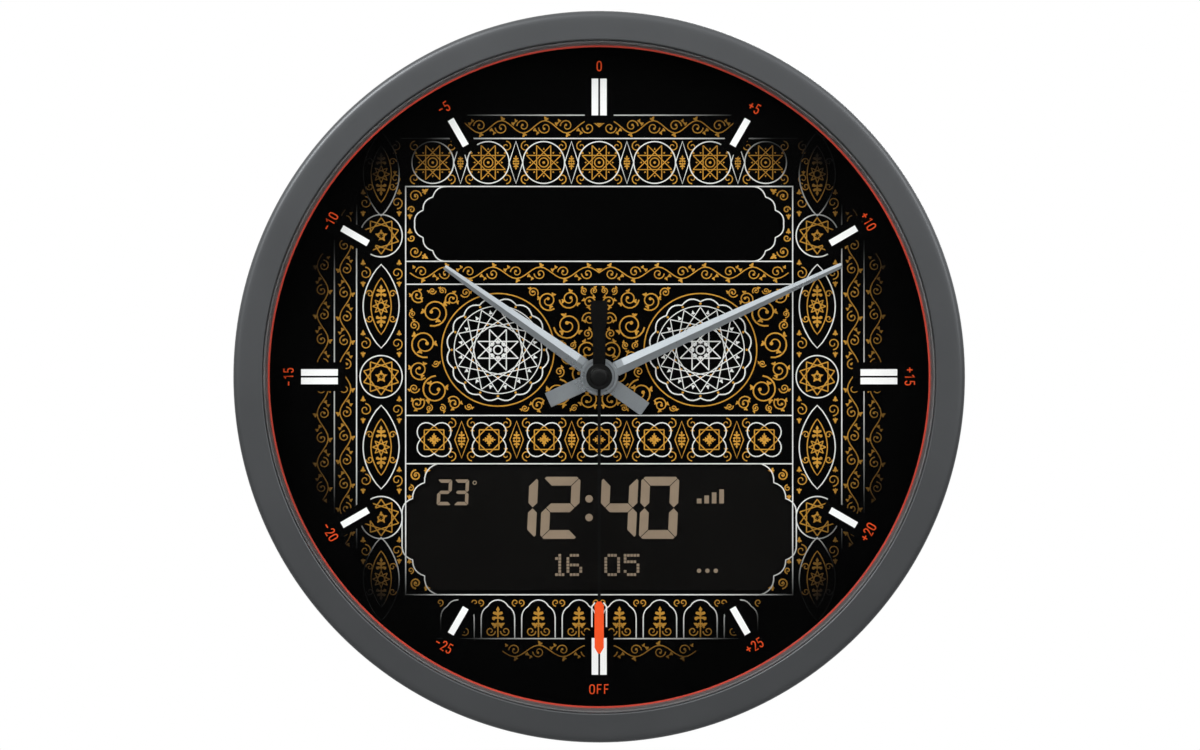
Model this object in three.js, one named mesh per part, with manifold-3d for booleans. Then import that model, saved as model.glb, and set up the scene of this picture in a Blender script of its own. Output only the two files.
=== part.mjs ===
// A round wall clock with two ridged hands, a pointer hand for the minutes to or since the call to
// prayer, and a digital display in the dial. Millimetres: X to the right of the dial, Z up, the dial
// faces -Y, and the flat back lies on the wall at Y = 0.
import * as THREE from "three";
import { mergeVertices } from "three/addons/utils/BufferGeometryUtils.js";
import Module from "manifold-3d";

const wasm = await Module();
wasm.setup();

// Case: the grey rim that shows round the dial, its wall, and the lens lip
const caseRadius = 165;
const rimWall = 3;
const faceWidth = 13.5;
const faceWall = 2.6;
const crownDrop = 0.8;
const edgeRound = 3;
const lipRound = 0.8;
const lipDepth = 4;
const lipDraft = 0.2;
const rimTail = 8;
const lensRibWall = 1.8;
const lensRibDepth = 5.5;
const bigRoundSides = 48;
const midRoundSides = 20;
const smallRoundSides = 12;
const pinSides = 8;
const weldTolerance = 1e-4;

// Clearances
const seatGap = 0.2;
const runGap = 0.25;
const cutOverrun = 2;

// Lens, spacer, accent ring, dial
const lensThickness = 2.5;
const lensBite = 1.9;
const spacerDraft = 0.7;
const accentWidth = 1;
const accentCover = 2.4;
const accentThickness = 0.8;
const dialThickness = 1;

// Hands
const handGap = 0.7;
const handPlate = 0.6;
const handRidge = 0.7;
const handRootWidth = 6.6;
const handTipWidth = 2.4;
const handHubRadius = 8.6;
const handTailReach = 25.5;
const handTailWidth = 7;
const handHipLength = 3.5;
const hourTipRoom = 63.4;
const minuteTipRoom = 28.4;
const hourHandAngle = 305.4;
const minuteHandAngle = 65.3;
const indexHandAngle = 180;
const indexTipRoom = 23.9;
const indexTipLength = 23;
const indexTipWidth = 4.2;
const indexStickWidth = 1.4;
const indexStickThickness = 0.8;
const indexHubRadius = 5.9;
const indexHubThickness = 1.2;
const indexDomeRadius = 4;
const indexDomeRise = 0.8;
const indexPaddleReach = 34.5;
const indexPaddleWidth = 7.6;
const paddleShoulderShare = 0.72;
const indexNeckWidth = 5.8;
const lensClearance = 2.3;

// Shafts through the dial, the nut that clamps it, and the turning pipes
const indexShaftRadius = 0.9;
const pipeWall = 0.75;
const postWall = 1.25;
const nutHeight = 2.5;
const nutRadius = 7.5;

// Movement: gear layers from the dial to the back
const cannonWall = 0.025;
const layerCount = 6;
const gearWidth = 1;
const layerGap = 0.6;
const arborRadius = 0.6;
const moveWall = 1.2;
const moveBackRoom = 9.5;
const rotorRadius = 2.5;
const rotorLength = 3.2;
const moveSideRoom = 1.4;
const moveTop = 20;
const moveFootRoom = 0.8;
const statorThickness = 1;
const statorMargin = 2.1;
const statorArborRoom = 1.4;
const statorLegWidth = 3.5;
const statorLegDrop = 16;
const coilCoreThickness = 0.5;
const coilSides = 14;
const cannonTeeth = 10;
const motionTeeth = 30;
const motionPinionTeeth = 8;
const hourTeeth = 32;
const centreTeeth = 40;
const pinionTeeth = 8;
const secondTeeth = 32;
const firstTeeth = 30;
const rotorTeeth = 10;
const indexTeeth = 40;
const idlerTeeth = 40;

// Gears, in shares of the module: how far a tooth stands out and cuts in, and half its width there
const tipShare = 0.85;
const rootShare = 1.15;
const halfTipShare = 0.3;
const halfRootShare = 0.95;

// Carrier, display and circuit board
const carrierThickness = 2.5;
const windowSideRoom = 60.4;
const windowHeadRoom = 10.1;
const windowFootRoom = 50.9;
const cornerWidthShare = 0.18;
const cornerHeightShare = 0.387;
const displayMargin = 3.6;
const displayGlass = 1.4;
const displayLedge = 5;
const frameThickness = 2.5;
const frameTab = 11;
const frameInset = 9;
const pinRadius = 1.6;
const boardThickness = 1.6;
const boardStandoff = 2.2;
const zebraWidth = 2.6;
const zebraInset = 14;
const chipSize = 11;
const chipHeight = 2;
const capacitorRadius = 4;
const capacitorHeight = 9;

// Rear housing
const backWall = 2.5;
const backInset = 21;
const backSlopeRun = 4.5;
const flangeThickness = 2.5;
const flangeDepth = 9.5;
const skirtWall = 2.2;
const screwRimRoom = 0.9;
const screwCount = 6;
const screwShankRadius = 1.3;
const screwHeadRadius = 2.9;
const screwHeadHeight = 1.7;
const screwLength = 14;
const screwSlotWidth = 0.8;
const bossRadius = 3.5;

// Control recess, keys, slide switch and volume wheel
const recessHalfWidth = 62;
const recessHeight = 28;
const recessDepth = 6;
const recessShift = 1.8;
const keyCount = 4;
const keyPitch = 17;
const keyRadius = 4;
const keyProud = 2;
const keyTravel = 0.7;
const keyFlange = 1.2;
const keyFlangeThickness = 1.2;
const keyRowOffset = -27.5;
const tactSize = 6;
const tactHeight = 3.5;
const plungerRadius = 1.7;
const plungerHeight = 1.3;
const switchOffset = 22;
const switchTravel = 4;
const switchKnobLength = 6;
const switchKnobWidth = 4;
const switchBodyLength = 14;
const switchBodyHeight = 4;
const volumeOffset = 45;
const volumeRadius = 8;
const volumeShaftRadius = 1.6;
const volumeBodySize = 11;
const volumeBodyHeight = 4.5;
const volumeNotches = 18;
const volumeNotchDepth = 0.6;

// Battery bay
const cellRadius = 7.25;
const cellLength = 49.3;
const cellNubRadius = 2.7;
const cellNubLength = 1.2;
const cellGap = 0.7;
const cellCount = 3;
const bayMoveRoom = 7.6;
const doorEdgeRoom = 6.05;
const bayWall = 1.5;
const bayEndRoom = 4.6;
const contactThickness = 0.5;
const contactWidth = 11;
const contactDimpleRadius = 2.2;
const springRadius = 3.2;
const springWire = 0.45;
const springTurns = 3;
const springSteps = 7;
const springSides = 5;
const doorThickness = 1.6;
const doorRim = 2.4;
const doorGripDepth = 0.7;

// Speaker
const speakerRadius = 33;
const speakerEdgeRoom = 16.66;
const speakerBearing = 58;
const speakerFlange = 1.4;
const speakerDepth = 16;
const speakerMagnetRadius = 14;
const speakerMagnetHeight = 6;
const coneThickness = 0.5;
const coneTravel = 0.5;
const coneRim = 3;
const grilleSlots = 9;
const grilleSlotWidth = 2;
const grilleInset = 5;
const speakerCollar = 3;
const collarWall = 1.6;

// Hanger
const hangerEdgeRoom = 22;
const hangerHalfWidth = 16;
const hangerHeight = 30;
const hangerThickness = 1.2;
const hangerLedge = 4;
const keyholeRadius = 5;
const keyholeSlotHalfWidth = 2.5;
const keyholeSlotLength = 8;
const pocketDepth = 8;

// Leads held inside the case
const leadRadius = 1.1;
const leadSides = 6;
const leadSteps = 14;

// Planes across the clock, worked out from the wall forward to the lens
const layerPitch = gearWidth + layerGap;
const moveBackY = -moveBackRoom;
const rotorFrontY = moveBackY - moveWall - layerGap - rotorLength;
const layerFrontY = (layer) => rotorFrontY - (layerCount - layer) * layerPitch;
const moveFrontY = layerFrontY(0) - layerGap - moveWall;
const carrierBackY = moveFrontY - seatGap;
const carrierFrontY = carrierBackY - carrierThickness;
const dialBackY = carrierFrontY - seatGap;
const dialFrontY = dialBackY - dialThickness;
const nutFrontY = dialFrontY - seatGap - nutHeight;
const handHeight = handPlate + handRidge;
const hourHandY = nutFrontY - handGap;
const minuteHandY = hourHandY - handHeight - handGap;
const indexHandY = minuteHandY - handHeight - handGap;
const capHeight = indexHubThickness + indexDomeRise;
const lensBackY = indexHandY - capHeight - lensClearance;
const lensFrontY = lensBackY - lensThickness;
const faceFrontY = lensFrontY - lipDepth;
const displayFrontY = dialBackY + seatGap;
const displayBackY = displayFrontY + 2 * displayGlass;
const frameFrontY = Math.max(displayBackY, carrierBackY) + seatGap;
const frameBackY = frameFrontY + frameThickness;
const boardFrontY = frameBackY + boardStandoff;
const boardBackY = boardFrontY + boardThickness;

// Radii of the stack inside the rim
const faceInnerRadius = caseRadius - faceWidth;
const lipRadius = faceInnerRadius - lipDraft;
const lensRadius = lipRadius + lensBite;
const lensRibRadius = lensRadius + 2 * seatGap;
const spacerFootRadius = lipRadius - seatGap - spacerDraft;
const accentInnerRadius = spacerFootRadius - accentWidth;
const accentOuterRadius = spacerFootRadius + accentCover;
const rimInnerRadius = caseRadius - rimWall;
const screwCircleRadius = rimInnerRadius - screwRimRoom - screwHeadRadius;
const backRadius = caseRadius - backInset;
const skirtOuterRadius = Math.min(lensRadius, screwCircleRadius - bossRadius - 2 * seatGap);
const skirtInnerRadius = skirtOuterRadius - skirtWall;
const minutePipeInner = indexShaftRadius + runGap;
const minutePipeOuter = minutePipeInner + pipeWall;
const hourPipeInner = minutePipeOuter + runGap;
const hourPipeOuter = hourPipeInner + pipeWall;
const postInner = hourPipeOuter + runGap;
const postOuter = postInner + postWall;

// The module leaves the cannon pinion a wall round the minute pipe at the foot of its teeth
const gearModule = (minutePipeOuter + cannonWall) / (cannonTeeth / 2 - rootShare);
const meshDistance = (teethA, teethB) => ((teethA + teethB) * gearModule) / 2;

// Where the wheels stand, seen from the front, and the case round them
const centrePlace = [0, 0];
const motionPlace = fromPoint(centrePlace, meshDistance(cannonTeeth, motionTeeth), 90);
const secondPlace = fromPoint(centrePlace, meshDistance(centreTeeth, pinionTeeth), -60);
const firstPlace = fromPoint(secondPlace, meshDistance(secondTeeth, pinionTeeth), -90);
const rotorPlace = fromPoint(firstPlace, meshDistance(firstTeeth, rotorTeeth), 180);
const idlerPlace = fromPoint(centrePlace, meshDistance(indexTeeth, pinionTeeth), 180);
const indexRotorPlace = fromPoint(idlerPlace, meshDistance(idlerTeeth, pinionTeeth), 90);
const statorHalfSpan = meshDistance(idlerTeeth, pinionTeeth) - arborRadius - statorArborRoom;
const moveHalfWidth = statorHalfSpan - rotorPlace[0] + moveSideRoom + moveWall;
const moveBottom = statorLegDrop - indexRotorPlace[1] + moveFootRoom + moveWall;

// What follows the dial's open radius: the hands and the display window
const hourHandReach = accentInnerRadius - hourTipRoom;
const minuteHandReach = accentInnerRadius - minuteTipRoom;
const indexReach = accentInnerRadius - indexTipRoom;
const windowTop = moveBottom + windowHeadRoom;
const windowBottom = accentInnerRadius - windowFootRoom;
const windowHeight = windowBottom - windowTop;
const windowHalfWidth = accentInnerRadius - windowSideRoom;

// A point in the plane of the dial, at a distance and an angle turned clockwise from straight up
function fromPoint([x, z], distance, degrees) {
  const angle = THREE.MathUtils.degToRad(degrees);
  return [x + distance * Math.sin(angle), z + distance * Math.cos(angle)];
}

// Solids: a closed geometry with its faces turned outwards, as a manifold, and back to a geometry
function solidOf(geometry) {
  const plain = geometry.clone();
  plain.deleteAttribute("normal");
  plain.deleteAttribute("uv");
  const merged = mergeVertices(plain, weldTolerance);
  const triVerts = new Uint32Array(merged.index.array);
  const vertProperties = new Float32Array(merged.attributes.position.array);
  const made = new wasm.Manifold(new wasm.Mesh({ numProp: 3, vertProperties, triVerts }));
  if (made.volume() > 0) return made;
  for (let i = 0; i < triVerts.length; i += 3) {
    [triVerts[i + 1], triVerts[i + 2]] = [triVerts[i + 2], triVerts[i + 1]];
  }
  return new wasm.Manifold(new wasm.Mesh({ numProp: 3, vertProperties, triVerts }));
}

function geometryOf(solid) {
  const { vertProperties, triVerts, numProp } = solid.getMesh();
  const positions = new Float32Array((vertProperties.length / numProp) * 3);
  for (let i = 0; i < positions.length / 3; i += 1) {
    positions.set(vertProperties.subarray(i * numProp, i * numProp + 3), i * 3);
  }
  const geometry = new THREE.BufferGeometry();
  geometry.setAttribute("position", new THREE.BufferAttribute(positions, 3));
  geometry.setIndex(new THREE.BufferAttribute(triVerts, 1));
  return geometry;
}

const joined = (first, ...rest) => rest.reduce((sum, solid) => sum.add(solid), first);
const cutBy = (first, ...rest) => rest.reduce((left, solid) => left.subtract(solid), first);

// A ring or a disc turned about the clock's own axis, from [radius, y] points
function turned(profile, sides = bigRoundSides) {
  const points = profile.map(([radius, y]) => new THREE.Vector2(radius, y));
  const onAxis = points[0].x === 0 && points.at(-1).x === 0;
  if (!onAxis) points.push(points[0].clone());
  return solidOf(new THREE.LatheGeometry(points, sides));
}

// The same, about an axis along Y through another point
const turnedAt = ([x, z], profile, sides) => turned(profile, sides).translate([x, 0, z]);

const discProfile = (radius, backY, frontY) => [[0, backY], [radius, backY], [radius, frontY], [0, frontY]];
const disc = (at, radius, backY, frontY, sides = smallRoundSides) =>
  turnedAt(at, discProfile(radius, backY, frontY), sides);
const tubeProfile = (inner, outer, backY, frontY) => [
  [inner, backY], [outer, backY], [outer, frontY], [inner, frontY],
];

// A flat shape drawn as seen from the front, given a thickness from its back to its front
function plate(shape, backY, frontY) {
  const depth = backY - frontY;
  const geometry = new THREE.ExtrudeGeometry(shape, { depth, bevelEnabled: false });
  geometry.rotateX(Math.PI / 2);
  geometry.translate(0, backY, 0);
  return solidOf(geometry);
}

function polygon(points) {
  return new THREE.Shape(points.map(([x, z]) => new THREE.Vector2(x, z)));
}

function block([x, z], width, height, backY, frontY) {
  const [left, right, low, high] = [x - width / 2, x + width / 2, z - height / 2, z + height / 2];
  return plate(polygon([[left, low], [right, low], [right, high], [left, high]]), backY, frontY);
}

// What is cut right through a wall runs past both of its faces
const hole = (at, radius, backY, frontY, sides) =>
  disc(at, radius, backY + cutOverrun, frontY - cutOverrun, sides);
const opening = (at, width, height, backY, frontY) =>
  block(at, width, height, backY + cutOverrun, frontY - cutOverrun);

// A tube along a curve
function tubeAlong(curve, radius, sides, steps) {
  const section = polygon(ringPoints(sides, radius));
  return solidOf(new THREE.ExtrudeGeometry(section, { steps, extrudePath: curve, bevelEnabled: false }));
}

function ringPoints(count, radius) {
  return Array.from({ length: count }, (_, i) => fromPoint([0, 0], radius, (-360 * i) / count));
}

// Case
function bezel() {
  const edgeY = faceFrontY + crownDrop;
  const profile = [[lipRadius, lensFrontY], [faceInnerRadius, faceFrontY + lipRound]];
  profile.push([faceInnerRadius + lipRound, faceFrontY]);
  profile.push([caseRadius - edgeRound - faceWidth / 3, faceFrontY + crownDrop / 4]);
  const edgeSteps = 3;
  for (let i = 0; i <= edgeSteps; i += 1) {
    const turn = (Math.PI / 2) * (i / edgeSteps);
    profile.push([
      caseRadius - edgeRound + edgeRound * Math.sin(turn),
      edgeY + edgeRound - edgeRound * Math.cos(turn),
    ]);
  }
  const innerFaceY = edgeY + faceWall;
  profile.push([caseRadius, -rimTail], [rimInnerRadius, -rimTail]);
  profile.push([rimInnerRadius, innerFaceY + edgeRound / 2]);
  profile.push([rimInnerRadius - edgeRound / 2, innerFaceY]);
  profile.push([lensRibRadius + lensRibWall, innerFaceY]);
  profile.push([lensRibRadius + lensRibWall, lensFrontY + lensRibDepth]);
  profile.push([lensRibRadius, lensFrontY + lensRibDepth]);
  profile.push([lensRibRadius, lensFrontY]);
  const bossBackY = -(flangeDepth + flangeThickness + seatGap);
  const bosses = screwPlaces().map((at) => disc(at, bossRadius, bossBackY, innerFaceY - faceWall / 2));
  const pilotY = -(flangeDepth + screwLength + seatGap);
  const pilots = screwPlaces().map((at) =>
    disc(at, screwShankRadius + seatGap, bossBackY + cutOverrun, pilotY, pinSides),
  );
  const lensSeat = turned(discProfile(lensRadius + seatGap, bossBackY + cutOverrun, lensFrontY));
  return cutBy(joined(turned(profile), ...bosses), lensSeat, ...pilots);
}

const screwAngle = 360 / screwCount;
const screwPlaces = () =>
  Array.from({ length: screwCount }, (_, i) => fromPoint([0, 0], screwCircleRadius, screwAngle * (i + 0.5)));

const lens = () => turned(discProfile(lensRadius, lensBackY, lensFrontY));

const accentBackY = dialFrontY - seatGap / 2;
const accentFrontY = accentBackY - accentThickness;

function spacerRing() {
  const backY = accentFrontY - seatGap;
  const frontY = lensBackY + seatGap;
  const profile = [[spacerFootRadius, backY], [lensRadius, backY], [lensRadius, frontY]];
  profile.push([spacerFootRadius + spacerDraft, frontY]);
  return turned(profile);
}

const accentRing = () => turned(tubeProfile(accentInnerRadius, accentOuterRadius, accentBackY, accentFrontY));

// The display window: straight above and below, and stepped in three scallops at each corner
function windowShape() {
  const halfHeight = windowHeight / 2;
  const centreZ = -(windowTop + halfHeight);
  const cornerWidth = cornerWidthShare * windowHalfWidth;
  const cornerHeight = cornerHeightShare * windowHeight;
  const cornerShares = [[1, 0], [0.64, 0.38], [0.3, 0.7], [0, 1]];
  const bulgeShares = [[0.84, 0.17], [0.4, 0.45], [0.07, 0.78]];
  const corner = [];
  cornerShares.forEach(([across, along], i) => {
    corner.push([across, along]);
    if (i < bulgeShares.length) corner.push(bulgeShares[i]);
  });
  const place = (signX, signZ) => ([across, along]) => [
    signX * (windowHalfWidth - across * cornerWidth),
    centreZ + signZ * (halfHeight - along * cornerHeight),
  ];
  return polygon([
    ...corner.map(place(1, 1)),
    ...corner.map(place(1, -1)).reverse(),
    ...corner.map(place(-1, -1)),
    ...corner.map(place(-1, 1)).reverse(),
  ]);
}

function dialPlate() {
  return cutBy(
    turned(discProfile(skirtOuterRadius, dialBackY, dialFrontY)),
    plate(windowShape(), dialBackY + cutOverrun, dialFrontY - cutOverrun),
    hole([0, 0], postOuter + 2 * seatGap, dialBackY, dialFrontY),
  );
}

// Display, its frame and the circuit board, stacked behind the window
const displayTop = -(windowTop - displayMargin / 2);
const displayBottom = -(windowBottom + displayMargin);
const displayHalfWidth = windowHalfWidth + displayMargin;
const displayCentre = [0, (displayTop + displayBottom) / 2];
const displayHeight = displayTop - displayBottom;
const frameHalfWidth = displayHalfWidth + frameTab;
const pinDrops = [displayTop - displayHeight / 5, displayBottom + displayHeight / 5];
const tabPinX = displayHalfWidth + (2 * frameTab) / 3;
const boardPinX = displayHalfWidth - frameInset / 2;
const pinPlaces = (x) => pinDrops.flatMap((z) => [[-x, z], [x, z]]);
const pinHoles = (x, backY, frontY) =>
  pinPlaces(x).map((at) => hole(at, pinRadius + runGap, backY, frontY, pinSides));
const frameHeight = displayHeight + displayMargin / 2;
const tabHeight = (3 / 5) * displayHeight + 6 * pinRadius;

function dialCarrier() {
  const bay = opening(
    displayCentre, 2 * (displayHalfWidth + seatGap), displayHeight + 2 * seatGap, carrierBackY, carrierFrontY,
  );
  const pins = pinPlaces(tabPinX).map((at) =>
    disc(at, pinRadius, frameBackY + pinRadius / 2, carrierFrontY + seatGap, pinSides),
  );
  const body = joined(turned(discProfile(skirtOuterRadius, carrierBackY, carrierFrontY)), ...pins);
  return cutBy(body, bay, hole([0, 0], postOuter + 2 * seatGap, carrierBackY, carrierFrontY));
}

function displayPanel() {
  const splitY = displayFrontY + displayGlass;
  const frontCentre = [0, displayCentre[1] + displayLedge / 2];
  const frontGlass = block(
    frontCentre, 2 * displayHalfWidth, displayHeight - displayLedge, splitY, displayFrontY,
  );
  return joined(frontGlass, block(displayCentre, 2 * displayHalfWidth, displayHeight, displayBackY, splitY));
}

function displayFrame() {
  const innerWidth = 2 * (displayHalfWidth - frameInset);
  const middle = opening(displayCentre, innerWidth, displayHeight - displayMargin, frameBackY, frameFrontY);
  const holes = pinHoles(tabPinX, frameBackY, frameFrontY);
  const shoulders = pinPlaces(boardPinX).map((at) =>
    disc(at, 1.8 * pinRadius, boardFrontY - seatGap, frameBackY - seatGap, pinSides),
  );
  const pins = pinPlaces(boardPinX).map((at) =>
    disc(at, pinRadius, boardBackY + pinRadius / 2, frameBackY, pinSides),
  );
  const body = block(displayCentre, 2 * displayHalfWidth, frameHeight, frameBackY, frameFrontY);
  const tabs = block(displayCentre, 2 * frameHalfWidth, tabHeight, frameBackY, frameFrontY);
  return joined(cutBy(joined(body, tabs), middle, ...holes), ...shoulders, ...pins);
}

function zebraStrip() {
  const z = displayBottom + displayMargin / 2 + zebraWidth / 2 + seatGap;
  const length = 2 * (displayHalfWidth - zebraInset);
  return block([0, z], length, zebraWidth, boardFrontY - seatGap, displayBackY + seatGap);
}

const recessCentre = [0, displayCentre[1] - recessShift];
const controlPlace = (x) => [x, recessCentre[1]];
const keyPlaces = () =>
  Array.from({ length: keyCount }, (_, i) =>
    controlPlace(keyRowOffset + (i - (keyCount - 1) / 2) * keyPitch),
  );
const switchPlace = controlPlace(switchOffset);
const volumePlace = controlPlace(volumeOffset);
const tactTopY = boardBackY + tactHeight;
const plungerTopY = tactTopY + plungerHeight;
const switchTopY = boardBackY + switchBodyHeight;
const volumeTopY = boardBackY + volumeBodyHeight;

// The board with the parts that are soldered to it: key switches, slide switch body, volume control
function mainBoard() {
  const holes = pinHoles(boardPinX, boardBackY, boardFrontY);
  const boardWidth = 2 * (boardPinX + 2 * pinRadius);
  const board = cutBy(block(displayCentre, boardWidth, displayHeight, boardBackY, boardFrontY), ...holes);
  const sunkY = boardBackY - boardThickness / 2;
  const tacts = keyPlaces().flatMap((at) => [
    block(at, tactSize, tactSize, tactTopY, sunkY),
    disc(at, plungerRadius, plungerTopY, sunkY, pinSides),
  ]);
  return joined(
    board, ...tacts,
    block(switchPlace, switchBodyLength, tactSize, switchTopY, sunkY),
    block(volumePlace, volumeBodySize, volumeBodySize, volumeTopY, sunkY),
  );
}

// The chip and the capacitor stand in the free column between the last key and the slide switch
const lastKeyX = keyRowOffset + ((keyCount - 1) / 2) * keyPitch;
const columnX = (lastKeyX + tactSize / 2 + switchOffset - switchBodyLength / 2) / 2;
const chipPlace = [columnX, displayTop - chipSize - displayMargin];
const capacitorPlace = [columnX, displayBottom + 2 * capacitorRadius];
const partFootY = boardBackY + seatGap;
const clockChip = () => block(chipPlace, chipSize, chipSize, partFootY + chipHeight, partFootY);
const capacitor = () =>
  disc(capacitorPlace, capacitorRadius, partFootY + capacitorHeight, partFootY);

// Rear housing
const panelBackY = -recessDepth;
const panelFrontY = -(recessDepth + backWall);
const cellY = -(doorThickness + 2 * seatGap + cellRadius);
const bayFloorY = cellY - cellRadius - seatGap;
const bayLength = cellLength + cellNubLength + 2 * bayEndRoom;
const cellPitch = 2 * cellRadius + cellGap;
const bayHeight = cellPitch * cellCount + seatGap;
const doorLength = bayLength + 2 * doorRim;
const doorHeight = bayHeight + 2 * doorRim;
// The bay lies clear above the movement, and its door's outer top corner keeps its room from the edge
const bayCentreZ = moveTop + bayMoveRoom + bayWall + bayHeight / 2;
const doorCornerX = Math.sqrt((backRadius - doorEdgeRoom) ** 2 - (bayCentreZ + doorHeight / 2) ** 2);
const bayCentreX = doorLength / 2 - doorCornerX;
const bayCentre = [bayCentreX, bayCentreZ];
const speakerPlace = fromPoint([0, 0], backRadius - speakerEdgeRoom - speakerRadius, speakerBearing);
const [speakerX, speakerZ] = speakerPlace;
const hangerCentre = [0, backRadius - hangerEdgeRoom];
const hangerBackY = -seatGap;
const hangerFrontY = hangerBackY - hangerThickness;
const skirtFrontY = carrierBackY + seatGap;

function housingShell() {
  const flangeFrontY = -(flangeDepth + flangeThickness);
  const slopeFootRadius = backRadius + backSlopeRun;
  return turned([
    [0, 0], [backRadius - backWall / 2, 0], [backRadius, -backWall / 2], [slopeFootRadius, -flangeDepth],
    [rimInnerRadius - 2 * seatGap, -flangeDepth], [rimInnerRadius - 2 * seatGap, flangeFrontY],
    [skirtOuterRadius, flangeFrontY], [skirtOuterRadius, skirtFrontY],
    [skirtInnerRadius, skirtFrontY], [skirtInnerRadius, flangeFrontY],
    [slopeFootRadius - backWall, flangeFrontY], [backRadius - backWall, -backWall], [0, -backWall],
  ]);
}

function grilleCuts() {
  const grilleRadius = speakerRadius - grilleInset;
  const pitch = (2 * grilleRadius) / grilleSlots;
  return Array.from({ length: grilleSlots }, (_, i) => {
    const offset = (i - (grilleSlots - 1) / 2) * pitch;
    const length = 2 * Math.sqrt(grilleRadius ** 2 - offset ** 2);
    const at = [speakerX + offset, speakerZ];
    return opening(at, grilleSlotWidth, length, 0, -backWall);
  });
}

function speakerWall() {
  const inner = speakerRadius + runGap;
  const profile = tubeProfile(inner, inner + collarWall, -backWall / 2, -(backWall + speakerCollar));
  return turnedAt(speakerPlace, profile, midRoundSides);
}

const pocketWidth = 2 * (hangerHalfWidth - hangerLedge);
const pocketHeight = hangerHeight - 2 * hangerLedge;

function housingTrays() {
  const tray = (centre, width, height, floorY, wall) =>
    block(centre, width + 2 * wall, height + 2 * wall, -backWall / 2, floorY - wall);
  return [
    tray(recessCentre, 2 * recessHalfWidth, recessHeight, panelBackY, backWall),
    tray(bayCentre, bayLength, bayHeight, bayFloorY, bayWall),
    tray(hangerCentre, pocketWidth, pocketHeight, -pocketDepth, bayWall),
  ];
}

// What is sunk into the back face: the recess, the bay and its door's seat, the pocket and its plate's seat
function housingSeats() {
  const sunk = (centre, width, height, floorY) => block(centre, width, height, cutOverrun, floorY);
  return [
    sunk(recessCentre, 2 * recessHalfWidth, recessHeight, panelBackY),
    sunk(bayCentre, bayLength, bayHeight, bayFloorY),
    sunk(bayCentre, doorLength + 2 * seatGap, doorHeight + 2 * seatGap, -(doorThickness + seatGap)),
    sunk(hangerCentre, pocketWidth, pocketHeight, -pocketDepth),
    sunk(hangerCentre, 2 * (hangerHalfWidth + seatGap), hangerHeight + 2 * seatGap, hangerFrontY - seatGap),
  ];
}

function controlHoles() {
  const slotCentre = controlPlace(switchOffset + switchTravel / 2);
  const slotLength = switchKnobLength + switchTravel + 2 * runGap;
  return [
    ...keyPlaces().map((at) => hole(at, keyRadius + runGap, panelBackY, panelFrontY)),
    opening(slotCentre, slotLength, switchKnobWidth + 2 * runGap, panelBackY, panelFrontY),
    hole(volumePlace, volumeRadius + runGap, panelBackY, panelFrontY, midRoundSides),
  ];
}

function rearHousing() {
  const flangeFrontY = -(flangeDepth + flangeThickness);
  const screwHoles = screwPlaces().map((at) =>
    hole(at, screwShankRadius + 2 * seatGap, -flangeDepth, flangeFrontY, pinSides),
  );
  const shell = joined(housingShell(), ...housingTrays(), speakerWall());
  return cutBy(shell, ...housingSeats(), ...grilleCuts(), ...controlHoles(), ...screwHoles);
}

function caseScrew(at) {
  const headY = -(flangeDepth - seatGap);
  const head = disc(at, screwHeadRadius, headY + screwHeadHeight, headY);
  const slotY = headY + screwHeadHeight / 2;
  const shank = disc(at, screwShankRadius, slotY, -(flangeDepth + screwLength), pinSides);
  const slot = (width, height) => block(at, width, height, headY + screwHeadHeight + cutOverrun, slotY);
  return cutBy(
    joined(head, shank),
    slot(screwSlotWidth, screwHeadRadius), slot(screwHeadRadius, screwSlotWidth),
  );
}

function hangerPlate() {
  const body = block(hangerCentre, 2 * hangerHalfWidth, hangerHeight, hangerBackY, hangerFrontY);
  const [holeZ, slotTop] = keyholeHeights();
  const slotCentre = [0, (holeZ + slotTop) / 2];
  const slot = opening(slotCentre, 2 * keyholeSlotHalfWidth, slotTop - holeZ, hangerBackY, hangerFrontY);
  return cutBy(body, hole([0, holeZ], keyholeRadius, hangerBackY, hangerFrontY), slot);
}

function keyholeHeights() {
  const holeZ = hangerCentre[1] - keyholeSlotLength / 2;
  return [holeZ, holeZ + keyholeRadius + keyholeSlotLength];
}

// Controls
function keyCap(at) {
  const frontY = plungerTopY + keyTravel + seatGap / 2;
  const flangeBackY = panelFrontY - seatGap;
  return joined(
    disc(at, keyRadius, panelBackY + keyProud, frontY),
    disc(at, keyRadius + keyFlange, flangeBackY, flangeBackY - keyFlangeThickness),
  );
}

function switchSlider() {
  const frontY = switchTopY + seatGap;
  const flangeBackY = panelFrontY - seatGap;
  return joined(
    block(switchPlace, switchKnobLength, switchKnobWidth, panelBackY + keyProud, frontY),
    block(
      switchPlace, switchKnobLength + 2 * keyFlange, switchKnobWidth + 2 * keyFlange,
      flangeBackY, flangeBackY - keyFlangeThickness,
    ),
  );
}

function volumeWheel() {
  const wheelFrontY = panelFrontY - seatGap;
  const rim = Array.from({ length: 2 * volumeNotches }, (_, i) =>
    fromPoint([0, 0], volumeRadius - (i % 2) * volumeNotchDepth, (-180 * i) / volumeNotches),
  );
  const [x, z] = volumePlace;
  const wheel = plate(polygon(rim), panelBackY + keyProud, wheelFrontY).translate([x, 0, z]);
  const marker = block(
    [x, z + volumeRadius / 2], volumeNotchDepth * 2, volumeRadius / 2,
    panelBackY + keyProud + cutOverrun, panelBackY + keyProud - volumeNotchDepth,
  );
  const shaft = disc(volumePlace, volumeShaftRadius, wheelFrontY + seatGap, volumeTopY + seatGap, pinSides);
  return cutBy(joined(wheel, shaft), marker);
}

// Battery bay: cells along X, their contacts at both ends, and the door
const cellZ = (index) => bayCentreZ + (index - (cellCount - 1) / 2) * cellPitch;
const cellFlips = (index) => (index % 2 === 0 ? 1 : -1);

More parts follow.
